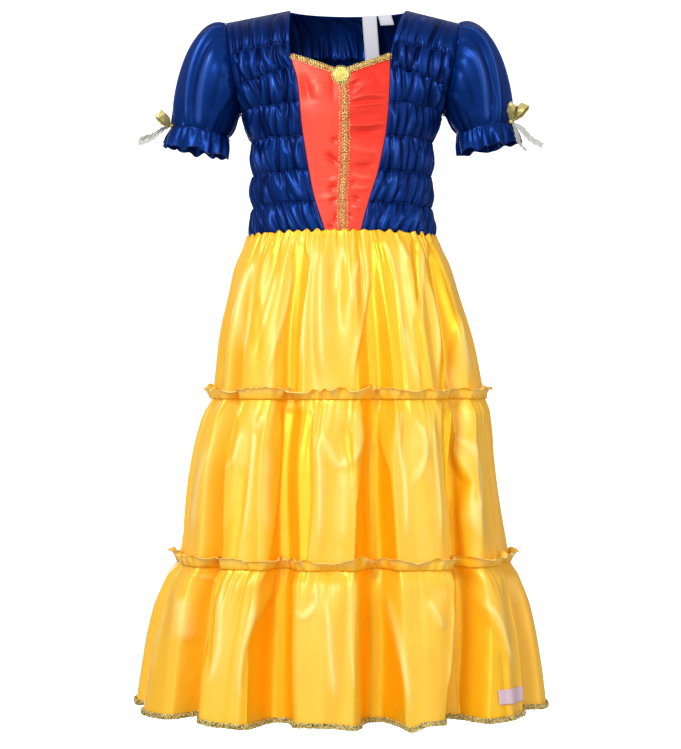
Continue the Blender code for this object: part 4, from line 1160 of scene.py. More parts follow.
def make_ruffle(ruffle):
    """A ruffle heading that stands out from a tier's seam, and droops here and there."""
    base = tier_points(ruffle.tier)[0][-1]
    seam_z = TIERS[ruffle.tier].bottom
    fine = np.arange(0, TIER_COLUMNS, 0.5)
    columns = np.arange(TIER_COLUMNS + 1)
    looped = np.vstack([base, base[:1]])
    base = np.stack([np.interp(fine, columns, looped[:, k]) for k in range(3)], axis=1)
    count = len(base)
    turn = np.arange(count) * TAU / count
    middle = np.stack([eased_ring(base[:, k]) for k in range(3)], axis=1)
    normal = level_normals(middle[None])[0]
    beyond = ((base - middle) * normal).sum(axis=1)
    reach = len(RUFFLE_EASE) // 4
    beyond = eased_ring(np.max([np.roll(beyond, k) for k in range(-reach, reach + 1)], axis=0))
    middle = middle + normal * beyond[:, None]
    tangent = np.cross(np.array([0.0, 0.0, 1.0]), normal)
    lobe = np.sin(58 * turn + 3.2 * wander(ruffle.seed, turn, 3, 13)) * (0.8 + 0.3 * wander(ruffle.seed + 1, turn, 4, 20))
    flute = np.sin(97 * turn + 2.6 * wander(ruffle.seed + 5, turn, 5, 19))
    pucker = wander(ruffle.seed + 2, turn, 90, 150)
    tall = 0.86 + 0.12 * wander(ruffle.seed + 3, turn, 7, 23)
    curl = wander(ruffle.seed + 4, turn, 14, 36)
    rows, painted_shadings = [], []
    for k, row in enumerate(RUFFLE):
        share = k / (len(RUFFLE) - 1)
        rise = row.rise * between(1.0, tall, share) - 0.0034 * share**2 * (0.5 + 0.5 * lobe)
        out = 1.3 * row.lean + row.wave * (0.66 * lobe + 0.20 * flute) + 0.0006 * pucker * (1 - share)
        out = 0.5 * (out + np.sqrt(out**2 + 0.0014**2)) + 0.0004
        line = between(base, middle, min(1.0, 2.5 * share))
        points = line + normal * out[:, None] + tangent * (0.0009 * share * curl)[:, None]
        points[:, 2] = seam_z + rise + 0.0006 * share * (curl + flute)
        rows.append(points)
        # Painted shade by the seam and on lobes that turn in; the rest of the free edge is painted lighter as a painted
        # highlight
        inward = np.clip(-lobe, 0.0, 1.0)
        painted_shadings.append(0.55 * math.exp(-share / 0.20) + 0.55 * share * inward - 0.7 * share * (1 - inward))
    painted_shading = np.array(painted_shadings)
    points = np.array(rows)
    size = bpy.context.scene.dress_sizes.frill
    obj = sew(
        ruffle.name, points, finish("yellow_satin"), size, [ruffle.node],
        closed=True, painted_shading=painted_shading,
    )
    return obj


# The bodice


def edge_x(side, z):
    """Distance of a blue front's inner edge from the centre line, on the side at -X or at +X."""
    return smooth(FRONT_EDGE, z, "right" if side < 0 else "left")


def armhole(z):
    """Distance of the armhole's edge from the centre line and from the side seam's plane, at height z."""
    rise = np.clip((z - ARMHOLE_Z) / ARMHOLE_HALF_HEIGHT, -1.0, 1.0)
    return ARMHOLE_X + ARMHOLE_LEAN * rise, ARMHOLE_HALF_DEPTH * np.sqrt(1 - rise * rise)


def section(side, z):
    """Half width and half depth of the body at height z, which runs through the armhole's edge beside it."""
    z = np.asarray(z, dtype=float)
    depth = smooth(BODY, z, "half_depth")
    low = smooth(BODY, z, "half_width")
    x, y = armhole(z)
    middle = x / np.maximum(1 - (y / depth) ** SECTION_POWER, 1e-6) ** (1 / SECTION_POWER)
    tip = armhole(SHOULDER_TIP_Z)[0]
    high = between(edge_x(side, 0.0), tip, z / SHOULDER_TIP_Z)
    width = np.where(z <= ARMHOLE_Z - ARMHOLE_HALF_HEIGHT, low, np.where(z <= SHOULDER_TIP_Z, middle, high))
    return width, depth


def section_angle(side, x, z):
    """The angle from the centre front at which a section reaches a distance x from the centre line."""
    return np.arcsin(np.minimum(1.0, (x / section(side, z)[0]) ** (SECTION_POWER / 2)))


def section_point(side, angle, z, facing):
    """Points of the sections at heights z: facing is -1 on the front and 1 on the back."""
    half_width, half_depth = section(side, z)
    x = half_width * np.sin(angle) ** (2 / SECTION_POWER)
    y = half_depth * np.maximum(0.0, np.cos(angle)) ** (2 / SECTION_POWER)
    return np.stack(np.broadcast_arrays(side * x, facing * y, z), axis=-1)


def side_angle(side, z):
    """The angle at which a panel ends: at the side seam, or at the armhole above it."""
    below = z <= ARMHOLE_Z - ARMHOLE_HALF_HEIGHT
    return np.where(below, math.pi / 2, section_angle(side, armhole(z)[0], z))


def row_heights(bands):
    """Height by the centre and at the side, at each place up the panel counted in bands of shirring."""
    steps = np.arange(BANDS)
    centre = np.interp(bands, steps, [row.z_centre for row in SHIRRING])
    return centre, np.interp(bands, steps, [row.z_side for row in SHIRRING])


def over_the_shoulder(low, top, share):
    """Rows between the last shirring and the shoulder seam, rounded over as on a shoulder."""
    corner = np.stack(
        [(low[:, 0] + top[:, 0]) / 2, low[:, 1] * 0.94, between(low[:, 2], top[:, 2], 0.72)], axis=-1
    )
    t = share[:, None, None]
    return (1 - t) ** 2 * low + 2 * t * (1 - t) * corner + t**2 * top


def front_base(side, bands, across):
    """Smooth inside points of a blue front: rows up the panel, columns from its inner edge to the side."""
    flat_bands = bands[bands <= BANDS - 1]
    centre, edge = row_heights(flat_bands)
    start = section_angle(side, edge_x(side, centre), centre)
    end = side_angle(side, edge)
    z = between(centre[:, None], edge[:, None], across[None])
    angle = between(start[:, None], end[:, None], across[None])
    low = section_point(side, angle, z, -1)
    tip = armhole(SHOULDER_TIP_Z)[0]
    x = side * between(edge_x(side, 0.0), tip, across)
    top = np.stack([x, 0 * across, SHOULDER_TIP_Z * across], axis=-1)
    return np.vstack([low, over_the_shoulder(low[-1], top, bands[bands > BANDS - 1] - (BANDS - 1))])


def back_base(bands, across):
    """Smooth inside points of the back: columns from the side at -X (-1) to the side at +X (1)."""
    centre, edge = row_heights(bands[bands <= BANDS - 1])
    halves = []
    for side in (-1, 1):
        z = between(centre[:, None], edge[:, None], np.abs(across)[None])
        angle = side_angle(side, edge)[:, None] * np.abs(across)[None]
        halves.append(section_point(side, angle, z, 1))
    low = np.where((across < 0)[None, :, None], halves[0], halves[1])
    tip = armhole(SHOULDER_TIP_Z)[0]
    neck = {side: side * float(edge_x(side, 0.0)) for side in (-1, 1)}
    share = np.clip((np.abs(across) - BACK_NECK_SHARE) / (1 - BACK_NECK_SHARE), 0.0, 1.0)
    shoulder = np.where(across < 0, between(neck[-1], -tip, share), between(neck[1], tip, share))
    turn = np.clip(across / BACK_NECK_SHARE, -1, 1) * math.pi / 2
    middle = (neck[1] + neck[-1]) / 2
    on_neck = np.abs(across) <= BACK_NECK_SHARE
    x = np.where(on_neck, middle + (neck[1] - middle) * np.sin(turn), shoulder)
    top = np.stack([x, BACK_NECK_DEPTH * np.cos(turn) * on_neck, SHOULDER_TIP_Z * share], axis=-1)
    return np.vstack([low, over_the_shoulder(low[-1], top, bands[bands > BANDS - 1] - (BANDS - 1))])


def waist_drop(x):
    """Height of the waist seam at a distance x from the centre line."""
    return WAIST_Z - WAIST_DIP * (x / BODY[-1].half_width) ** 2


def shirred_relief(run, bands, seed):
    """Height of the puffs and gathers of a shirred panel, and its painted shade and highlight; run is metres across it,
    bands its rows.
    """
    band = np.minimum(np.floor(bands).astype(int), BANDS - 1)
    up = np.clip(bands - band, 0.0, 1.0)
    puff = np.array([row.puff for row in SHIRRING])[band]
    height = (puff * np.sin(math.pi * up) ** 0.62)[:, None] + 0 * run
    valleys = 0 * run
    rng = random.Random(seed)
    for number in range(BANDS):
        rows = np.flatnonzero(band == number)
        line, share = run[rows], up[rows][:, None]
        low, high = run[rows[0]], run[rows[-1]]
        for from_top in (False, True):
            away = 1 - share if from_top else share
            start, end = (high if from_top else low)[[0, -1]]
            place = start + rng.uniform(0.2, 0.8) * SHIRRED_PITCH
            while place < end:
                reach = rng.choice((0.5, 0.8, 1.1, 1.6)) * rng.uniform(0.9, 1.15)
                deep = SHIRRED_VALLEY * rng.uniform(0.5, 1.2)
                lean = rng.uniform(-0.008, 0.008)
                width = SHIRRED_WIDTH * rng.uniform(0.8, 1.4) * (1 + 0.6 * away)
                taper = np.clip(1 - (away / reach) ** 2, 0.0, 1.0)
                off = (line - place - lean * away) / width
                valleys[rows] += deep * taper * np.exp(-off * off)
                place += SHIRRED_PITCH * rng.uniform(0.60, 1.40)
    height -= valleys
    gap = np.minimum(up, 1 - up)[:, None] * 0.040
    wobble = np.sin(run * TAU / 0.0046 + 2.0 * np.sin(run * TAU / 0.031 + seed))
    height += 0.0009 * wobble * np.exp(-((gap / 0.0036) ** 2))
    height -= 0.0004 * np.exp(-((gap / 0.0009) ** 2))
    swell = np.sin(run * TAU / 0.027 + 1.7 * band[:, None] + 2.0 * np.sin(run * TAU / 0.083 + seed))
    height += 0.0013 * swell * np.sin(math.pi * up)[:, None]
    # Painted shade in the gathers' valleys and along the rows of elastic; the tops of the puffs are painted lighter as
    # a painted highlight
    painted_shading = np.clip(valleys / 0.0046, 0.0, 1.0)
    crest = ease(height, 0.0030, 0.0056) * (1 - painted_shading) * ease(swell, -0.4, 0.9)
    return height, np.maximum(painted_shading, 0.6 * np.exp(-((gap / 0.0020) ** 2))) - 0.45 * crest


def row_wander(run, bands, seed, inner):
    """How far the shirring rows stray up and down; inner is 0 at a panel's sides and 1 inside."""
    low = np.minimum(np.floor(bands).astype(int), BANDS - 1)
    share = (bands - low)[:, None]
    curves = []
    for number in range(BANDS + 1):
        rng = random.Random(seed + number)
        curve = sum(
            np.sin(run * TAU / pitch * rng.uniform(0.85, 1.15) + rng.uniform(0, TAU)) for pitch in (0.021, 0.047)
        )
        curves.append(curve * (0.0 if number in (0, BANDS) else ROW_WANDER / 2))
    curves = np.array(curves)
    rows = np.arange(len(bands))
    return between(curves[low, rows], curves[low + 1, rows], share) * inner


def run_across(base):
    """Metres across each row of a panel, measured in the middle of the row."""
    steps = np.linalg.norm(np.diff(base, axis=1), axis=2)
    run = np.concatenate([np.zeros((len(base), 1)), np.cumsum(steps, axis=1)], axis=1)
    return run - run[:, :1]


def level_at_sides(normals, bands, at_side):
    """Normals made level up to the underarm, and square to the side seam beside it."""
    rising = ease(bands, 4.5, 6.3)[:, None, None]
    level = normals.copy()
    level[..., 2] *= rising[..., 0]
    level = unit(level)
    square = np.zeros_like(level)
    square[..., 0] = np.sign(level[..., 0])
    weight = (at_side * (1 - ease(bands, 3.4, 4.0)[:, None]))[..., None]
    return unit(between(level, square, weight))


def seam_edges(points, bands, columns, facing):
    """Sets a panel's side seams half a gap off its neighbour's, up to the underarm."""
    below = bands <= UNDERARM_BAND
    for column in columns:
        points[below, column, 1] = facing * SEAM_GAP / 2
    return points


@functools.lru_cache(maxsize=None)
def front_points(side):
    """Points of a blue front's cloth, with its armhole edge in the last column."""
    bands = np.linspace(0, BANDS, PANEL_ROWS)
    across = np.linspace(0, 1, PANEL_COLUMNS)
    base = front_base(side, bands, across)
    base = seam_edges(base, bands, [-1], -1)
    base[..., 2] += (waist_drop(base[..., 0]) - base[..., 2]) * np.exp(-bands / 0.12)[:, None]
    run = run_across(base)
    normals = grid_normals(base, False, away_from_axis(base))
    to_end = run[:, -1:] - run
    normals = level_at_sides(normals, bands, ease(to_end, 0.012, 0.0))
    seed = 101 if side < 0 else 202
    relief, painted_shading = shirred_relief(run, bands, seed)
    base[..., 2] += row_wander(run, bands, seed, ease(to_end, 0.0, 0.020) * ease(run, 0.0, 0.010))
    puff = np.array([row.puff for row in SHIRRING])[np.minimum(bands.astype(int), BANDS - 1)]
    seam_puff = (0.62 * puff * np.sin(math.pi * (bands % 1.0)) ** 0.55)[:, None]
    seam_puff = seam_puff * (1 - ease(bands, 3.7, 4.0))[:, None]
    relief = between(seam_puff, relief, ease(to_end, 0.0, 0.010))
    relief = relief * ease(run, -0.0008, 0.0060) * (1 - ease(bands, 6.75, 7.0))[:, None]
    return base + normals * (CLOTH_OUT + relief)[..., None], painted_shading


@functools.lru_cache(maxsize=None)
def back_points():
    """Points of the blue back's cloth."""
    bands = np.linspace(0, BANDS, BACK_ROWS)
    across = np.linspace(-1, 1, BACK_COLUMNS)
    base = back_base(bands, across)
    base = seam_edges(base, bands, [0, -1], 1)
    base[..., 2] += (waist_drop(base[..., 0]) - base[..., 2]) * np.exp(-bands / 0.12)[:, None]
    run = run_across(base)
    normals = grid_normals(base, False, away_from_axis(base))
    to_end = np.minimum(run, run[:, -1:] - run)
    normals = level_at_sides(normals, bands, ease(to_end, 0.012, 0.0))
    relief, painted_shading = shirred_relief(run, bands, 303)
    base[..., 2] += row_wander(run, bands, 303, ease(to_end, 0.0, 0.020))
    puff = np.array([row.puff for row in SHIRRING])[np.minimum(bands.astype(int), BANDS - 1)]
    seam_puff = (0.62 * puff * np.sin(math.pi * (bands % 1.0)) ** 0.55)[:, None]
    seam_puff = seam_puff * (1 - ease(bands, 3.7, 4.0))[:, None]
    relief = between(seam_puff, relief, ease(to_end, 0.0, 0.010))
    relief = relief * (1 - ease(bands, 6.75, 7.0))[:, None]
    # The back's painted shade and highlight are weaker than the fronts'
    return base + normals * (CLOTH_OUT + relief)[..., None], 0.6 * painted_shading


def body_front(x, z):
    """Points of the body's front over places x, z."""
    left = section_point(-1, section_angle(-1, np.abs(x), z), z, -1)
    right = section_point(1, section_angle(1, np.abs(x), z), z, -1)
    return np.where((np.asarray(x) < 0)[..., None], left, right)


@functools.lru_cache(maxsize=None)
def insert_points():
    """Points of the red centre front and their outward normals, from the waist up, from -X to +X."""
    z_edge = np.linspace(WAIST_Z, INSERT_TOP_Z, INSERT_ROWS)[:, None]
    share = np.linspace(0, 1, INSERT_COLUMNS)[None]
    left, right = -edge_x(-1, z_edge) + SEAM_GAP, edge_x(1, z_edge) - SEAM_GAP
    x = between(left, right, share)
    drop = NECK_POINT_DROP * np.clip((z_edge - INSERT_START_Z) / (INSERT_TOP_Z - INSERT_START_Z), 0, 1)
    z = z_edge - drop * (1 - np.abs(2 * share - 1))
    z = z + (waist_drop(x) - z) * np.exp((WAIST_Z - z_edge) / 0.004)
    base = body_front(x, z)
    normals = grid_normals(base, False, away_from_axis(base))
    dent = crease_height(base[..., 0], -base[..., 2], INSERT_DENTS, soft=True)
    crest = crease_height(base[..., 0], -base[..., 2], INSERT_CREASES, soft=True)
    height = 1.5 * crest - 1.3 * dent
    # Painted shade: the half at +X, turned from the key light, is painted darker, more so higher up, and the dents are
    # painted darker; the creases are painted lighter as a painted highlight
    painted_shade_left_half = ease(base[..., 0], -0.004, 0.014) * between(0.25, 0.70, ease(base[..., 2], -0.215, -0.140))
    painted_shading = np.clip(np.maximum(0.8 * dent / DENT_SHADE, painted_shade_left_half) - 0.5 * crest / 0.0018, -0.6, 1.0)
    under_braid = np.exp(-((base[..., 0] / 0.0060) ** 2))
    edge = np.minimum(share, 1 - share) * (right - left)
    height = (height * (1 - 0.8 * under_braid) + 0.0008 * ease(edge, 0.0, 0.02)) * ease(edge, 0.0, 0.006)
    return base + normals * (CLOTH_OUT - 0.0004 + height)[..., None], normals, painted_shading


def make_stitches():
    """Rows of stitches over the elastic, one short thread copied along every row."""
    size = bpy.context.scene.dress_sizes.stitch
    bpy.ops.object.select_all(action="DESELECT")
    bpy.ops.mesh.primitive_cylinder_add(vertices=6, radius=1.0, depth=2.0, end_fill_type="NOTHING")
    thread = bpy.context.object
    mesh = thread.data
    mesh.transform(Matrix.Rotation(math.pi / 2, 4, "Y"))
    points = np.array([tuple(v.co) for v in mesh.vertices])
    faces = np.array([tuple(face.vertices) for face in mesh.polygons if len(face.vertices) == 4])
    bpy.data.objects.remove(thread, do_unlink=True)
    bpy.data.meshes.remove(mesh)
    motif = points * np.array([size / 2, 0.00028, 0.00028]), faces
    parts = []
    for cloth, _ in (front_points(-1), front_points(1), back_points()):
        rows = len(cloth) - 1
        outward = grid_normals(cloth, False, away_from_axis(cloth))
        for number in range(1, BANDS):
            row = round(rows * number / BANDS)
            line = cloth[row, 4:-4]
            out = outward[row, 4:-4]
            places, outs = spaced(line, out, size * 1.35, False)
            frames = frames_along(places, outs)
            places = places + unit(outs) * 0.00022
            parts.append(copy_motif(motif, places, frames, np.ones(len(places))))
    obj = join_parts("shirring_stitches", parts, finish("blue_sewing_thread"))
    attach(obj, "root")
    return obj


# The sleeves


def arm_directions(side):
    """The sleeve's directions: down the arm, away from the body and forwards."""
    lean, drop = math.sin(ARM_TILT), math.cos(ARM_TILT)
    return np.array([side * lean, 0, -drop]), np.array([side * drop, 0, lean]), np.array([0.0, -1.0, 0.0])


def armhole_loop(side):
    """The armhole's edge in the cloth, from the shoulder down the front and up the back, evenly spaced."""
    front, back = front_points(side)[0], back_points()[0]
    front_start = round((PANEL_ROWS - 1) * UNDERARM_BAND / BANDS)
    back_start = round((BACK_ROWS - 1) * UNDERARM_BAND / BANDS)
    down = front[:front_start - 1:-1, -1]
    up = back[back_start + 1:, -1 if side > 0 else 0]
    loop = np.vstack([down, up])
    run = np.concatenate([[0.0], np.cumsum(np.linalg.norm(np.diff(np.vstack([loop, loop[:1]]), axis=0), axis=1))])
    looped = np.vstack([loop, loop[:1]])
    wanted = run[-1] * np.arange(SLEEVE_COLUMNS) / SLEEVE_COLUMNS
    return np.stack([np.interp(wanted, run, looped[:, k]) for k in range(3)], axis=1)


@functools.lru_cache(maxsize=None)
def sleeve_points(side):
    """Points of a sleeve's cloth, rows from the armhole to the frill's edge."""
    size = SLEEVES[side]
    loop = armhole_loop(side)
    down, away, forward = arm_directions(side)
    cuff = np.array([side * size.cuff_x, 0, size.cuff_z])
    rise = np.clip((loop[:, 2] - ARMHOLE_Z) / ARMHOLE_HALF_HEIGHT, -1.0, 1.0)
    turn = np.arccos(rise) * np.where(loop[:, 1] <= 0, 1.0, -1.0)
    clear = (SLEEVE_GAP + UNDERARM_EASE * (1 - rise) / 2)[:, None] * np.array([side * 0.8, 0, 0.0])
    start = loop + clear + np.stack([0 * rise, 0 * rise, 0.0006 * rise], axis=-1)
    round_arm = away * np.cos(turn)[:, None] + forward * np.sin(turn)[:, None]
    full = between(UNDERARM_SHARE, 1.0, (1 + np.cos(turn)) / 2)
    head = np.array([side * size.head_out, 0, size.head_up]) * full[:, None]
    head = head + forward * (PUFF_FORWARD * np.sin(turn))[:, None]
    hang = round_arm * PUFF_OVERHANG - down * (PUFF_DROP * full)[:, None]
    end = cuff + round_arm * CUFF_RADIUS
    share = np.linspace(0, 1, SLEEVE_PUFF_ROWS)[:, None, None]
    back = 1 - share
    puff = start * back**3 + (start + head) * 3 * back**2 * share
    puff = puff + (end + hang) * 3 * back * share**2 + end * share**3
    loops = np.arange(SLEEVE_COLUMNS) * TAU / SLEEVE_COLUMNS
    seed = 400 if side < 0 else 500
    s = share[..., 0]
    length = np.linalg.norm(np.diff(puff, axis=0), axis=2).sum(axis=0)[None]
    from_head, from_cuff = s * length, (1 - s) * length
    height = 0.0
    for k, (count, tall, fade) in enumerate(((26, 0.0015, 0.009), (13, 0.0022, 0.024))):
        phase = count * loops + 1.2 * wander(seed + k, loops, 2, 7) + 14 * from_head * wander(seed + k + 3, loops, 1, 4)
        height = height + tall * (np.abs(np.sin(phase / 2)) - 0.64) * np.exp(-from_head / fade)
    for k, (count, tall, fade) in enumerate(((26, 0.0020, 0.010), (13, 0.0030, 0.030), (7, 0.0020, 0.050))):
        phase = count * loops + 1.2 * wander(seed + 20 + k, loops, 2, 7) + 12 * from_cuff * wander(seed + k + 23, loops, 1, 4)
        height = height + tall * (np.abs(np.sin(phase / 2)) - 0.64) * np.exp(-from_cuff / fade)
    folds = 0.0
    for fold in SLEEVE_FOLDS:
        off = (turn[None] - fold.turn - fold.slant * (s - 0.5) * 2) / fold.width
        window = ease(s, fold.start - 0.12, fold.start + 0.12) * ease(s, fold.end + 0.06, fold.end - 0.10)
        folds = folds + fold.height / 1000 * window * (1 + off * off) ** -1.5
    height = height + folds
    # Painted shade by the armhole and cuff seams, in the valleys of the long folds and on the front towards the
    # underarm; the crests of the folds are painted lighter as a painted highlight
    painted_shading = np.maximum(0.55 * np.exp(-from_head / 0.004), 0.55 * np.exp(-from_cuff / 0.004))
    painted_shading = np.maximum(painted_shading, 0.5 * ease(-folds, 0.0004, 0.0026)) + 0.40 * ease(turn, 1.5, 2.4)[None]
    painted_shading = np.clip(painted_shading, 0.0, 1.0) - 0.5 * ease(folds, 0.0012, 0.0034)
    fullness = between(0.35, 1.0, full)[None]
    centre = puff.mean(axis=1, keepdims=True)
    normals = grid_normals(puff, True, centre)
    pinned = ease(from_head, -0.001, 0.005) * ease(from_cuff, -0.001, 0.004)
    puff = puff + normals * (height * fullness * pinned)[..., None]
    frill = []
    steps = np.linspace(0, 1, SLEEVE_FRILL_ROWS + 1)[1:]
    wave = np.sin(11 * loops + 1.6 * wander(seed + 40, loops, 1, 4)) * (0.8 + 0.3 * wander(seed + 41, loops, 2, 6))
    pucker = np.abs(np.sin(13 * loops + 1.2 * wander(seed + 42, loops, 2, 7))) - 0.64
    edge = 0.0016 * wander(seed + 43, loops, 5, 14)
    for step in steps:
        flare = ease(step, -0.2, 0.7)
        radius = between(CUFF_RADIUS, FRILL_RADIUS, flare)
        reach = radius + 0.0036 * step * wave + 0.0026 * pucker * math.exp(-step / 0.35) * min(1.0, step * 6)
        along = FRILL_LENGTH * step + edge * step**2
        frill.append(cuff + down * along[:, None] + round_arm * reach[:, None])
    # Frill's painted shade by the cuff and on flutes that turn in; flutes that turn out are painted lighter as a
    # painted highlight
    inward = 0.45 * np.clip(-wave, 0.0, 1.0) - 0.25 * np.clip(wave, 0.0, 1.0)
    frill_painted_shading = steps[:, None] * inward[None] + 0.4 * np.exp(-steps[:, None] / 0.25)
    return np.vstack([puff, np.array(frill)]), np.vstack([painted_shading, frill_painted_shading])


def make_sleeve(side):
    """A puff sleeve from the armhole to its cuff elastic, with the frill past it."""
    size = SLEEVES[side]
    points, painted_shading = sleeve_points(side)
    centre = points.mean(axis=1, keepdims=True)
    thickness = bpy.context.scene.dress_sizes.satin
    obj = sew(
        size.name, points, finish("blue_satin"), thickness, [size.node],
        closed=True, towards=centre, painted_shading=painted_shading,
    )
    return obj


# Bows, rose, braids and labels


def ribbon_points(path, across, columns=9):
    """Points of a ribbon along a path, pinched where it leaves the knot and cupped across its width."""
    away = np.linalg.norm(path - path[0], axis=1)
    spread = np.minimum(1.0, BOW_PINCH + away / BOW_SPREAD_LENGTH)
    ahead = unit(np.gradient(path, axis=0))
    across = unit(across)
    normal = unit(np.cross(ahead, across))
    rows = []
    for k in range(len(path)):
        width = np.linspace(-1, 1, columns)[:, None] * spread[k] * BOW_RIBBON_WIDTH / 2
        cup = 0.0009 * (1 - spread[k]) * np.sin(np.linspace(0, 3 * math.pi, columns))[:, None]
        ripple = 0.0005 * math.sin(k * 0.9) * np.cos(np.linspace(0, math.pi, columns))[:, None]
        rows.append(path[k] + across * width + normal[k] * (cup + ripple))
    return np.array(rows)


def make_ribbon(name, points, material, node):
    """A ribbon as a thin two-faced strip."""
    towards = points - np.cross(points[1, -1] - points[1, 0], points[2, 0] - points[1, 0]) * 1e3
    obj = sew(
        name, points, material, bpy.context.scene.dress_sizes.ribbon, [node], towards=towards
    )
    return obj


def make_bow(side):
    """A knot with two loops and two ends, on the outer side of a cuff."""
    bow, size = BOWS[side], SLEEVES[side]
    down, away, forward = arm_directions(side)
    outward = away * math.cos(bow.turn) + forward * math.sin(bow.turn)
    along = forward * math.cos(bow.turn) - away * math.sin(bow.turn)
    cuff = np.array([side * size.cuff_x, 0, size.cuff_z])
    knot = cuff + outward * (CUFF_RADIUS + bow.seat + BOW_KNOT / 2)
    reach = BOW_KNOT / 2 + 2 * SEAM_GAP - 0.0012
    for part in bow.parts:
        direction = unit(outward * part.out + along * part.along - down * part.up)
        start = knot + direction * reach
        if part.loop:
            across = np.cross(along, direction)
            swell = unit(np.cross(unit(across), direction))
            turn = np.linspace(0, TAU, 49)
            far = BOW_LOOP_LENGTH * 0.5 * (1 - np.cos(turn))
            step = -np.sin(turn) * (0.4 + 0.6 * np.sin(turn / 2)) * BOW_LOOP_FULLNESS
            apart = 0.0013 * (turn / TAU - 0.5)
            path = start + direction * far[:, None] + swell * (step + apart)[:, None]
            material, flat = finish("gold_film_ribbon"), (BOW_RIBBON_WIDTH, 0.058)
        else:
            across = np.cross(outward, direction)
            share = np.linspace(0, 1, 40)[:, None]
            curl = 0.0016 * np.sin(share * 7.0)
            path = start + direction * BOW_TAIL_LENGTH * share + outward * (BOW_TAIL_BEND * share**2 + curl)
            material, flat = finish("silver_sheer_ribbon"), (BOW_RIBBON_WIDTH, BOW_TAIL_LENGTH)
        name = f"{bow.name}_ribbon_{part.name}"
        points, node = ribbon_points(path, across), f"{bow.name}_{part.name}"
        make_ribbon(name, points, material, node)
    bpy.ops.object.select_all(action="DESELECT")
    bpy.ops.mesh.primitive_uv_sphere_add(segments=28, ring_count=18, radius=BOW_KNOT / 2)
    ball = bpy.context.object
    ball.name = f"{bow.name}_ribbon_knot"
    turned = Matrix((along, np.cross(outward, along), outward)).transposed().to_4x4()
    for vertex in ball.data.vertices:
        p = vertex.co.copy()
        angle = math.atan2(p.y, p.z)
        folds = 1 + 0.10 * math.cos(6 * angle + 1.3 * p.x / BOW_KNOT)
        waist = 1.0 - 0.22 * math.cos(math.pi * p.x / BOW_KNOT) ** 2
        vertex.co = Vector((p.x * 1.05, p.y * folds * waist, p.z * folds * waist))
    ball.data.transform(turned)
    ball.data.transform(Matrix.Translation(knot))
    ball.location = (0, 0, 0)
    ball.data.materials.append(finish("gold_film_ribbon"))
    ball.data.shade_smooth()
    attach(ball, "root")
    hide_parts(f"{bow.name}_knot")


def make_rosette():
    """A rose of gold braid rolled up on the point of the neckline."""
    points, normals, _ = insert_points()
    normal = normals[-1, INSERT_COLUMNS // 2]
    x = points[-1, INSERT_COLUMNS // 2, 0]
    base = body_front(np.array(x), np.array(ROSETTE_Z)) + normal * (CLOTH_OUT + 0.0018)
    across = np.array([1.0, 0.0, 0.0])
    up = unit(np.cross(normal, across))
    ring = np.linspace(0, 1, 46)[:, None]
    turn = np.linspace(0, TAU, 97)[None, :-1]
    coil = 0.5 + 0.5 * np.cos(TAU * (ring / 0.235 - turn / TAU) + 0.5 * np.cos(3 * turn + 2))
    radius = ROSE_RADIUS * ring * (1 + 0.03 * np.cos(5 * turn + 4 * ring))
    lift = 0.0036 * np.sqrt(np.maximum(1 - 0.9 * ring**2, 0.0)) + 0.0014 * coil * (1 - ring**6)
    flat = across * np.cos(turn)[..., None] + up * np.sin(turn)[..., None]
    obj = sew(
        "rolled_rose", base + flat * radius[..., None] + normal * lift[..., None], finish("gold_lurex_rose"),
        0.0007, ["rosette"], closed=True, towards=base - normal * 0.02,
    )
    rings = thread_ring(ROSE_RADIUS, ROSE_RADIUS, 0.0010, 0.0, 0.0008)
    frames = across[None], up[None], normal[None]
    parts = [copy_motif(rings, base[None], frames, np.ones(1))]
    picot = thread_ring(0.0017, 0.0012, 0.00042, 0.0)
    angles = np.arange(22) * TAU / 22
    out = across * np.cos(angles)[:, None] + up * np.sin(angles)[:, None]
    round_it = -across * np.sin(angles)[:, None] + up * np.cos(angles)[:, None]
    places = base + out * (ROSE_RADIUS + 0.0010) + normal * 0.0004
    normals_there = np.repeat(normal[None], len(angles), axis=0)
    parts.append(copy_motif(picot, places, (out, round_it, normals_there), np.ones(len(angles))))
    edging = join_parts("rose_edging", parts, finish("gold_lurex_braid"))
    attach(edging, "root")


def braid_object(name, motif, path, outward, pitch, closed, node, material):
    """Gold braid: one motif copied along a path on the cloth."""
    places, outs = spaced(path, outward, pitch, closed)
    frames = frames_along(places, outs)
    rng = random.Random(len(places))
    scales = np.array([rng.uniform(0.92, 1.08) for _ in places])
    obj = join_parts(name, [copy_motif(motif, places, frames, scales)], finish(material))
    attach(obj, "root")
    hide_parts(node)
    return obj


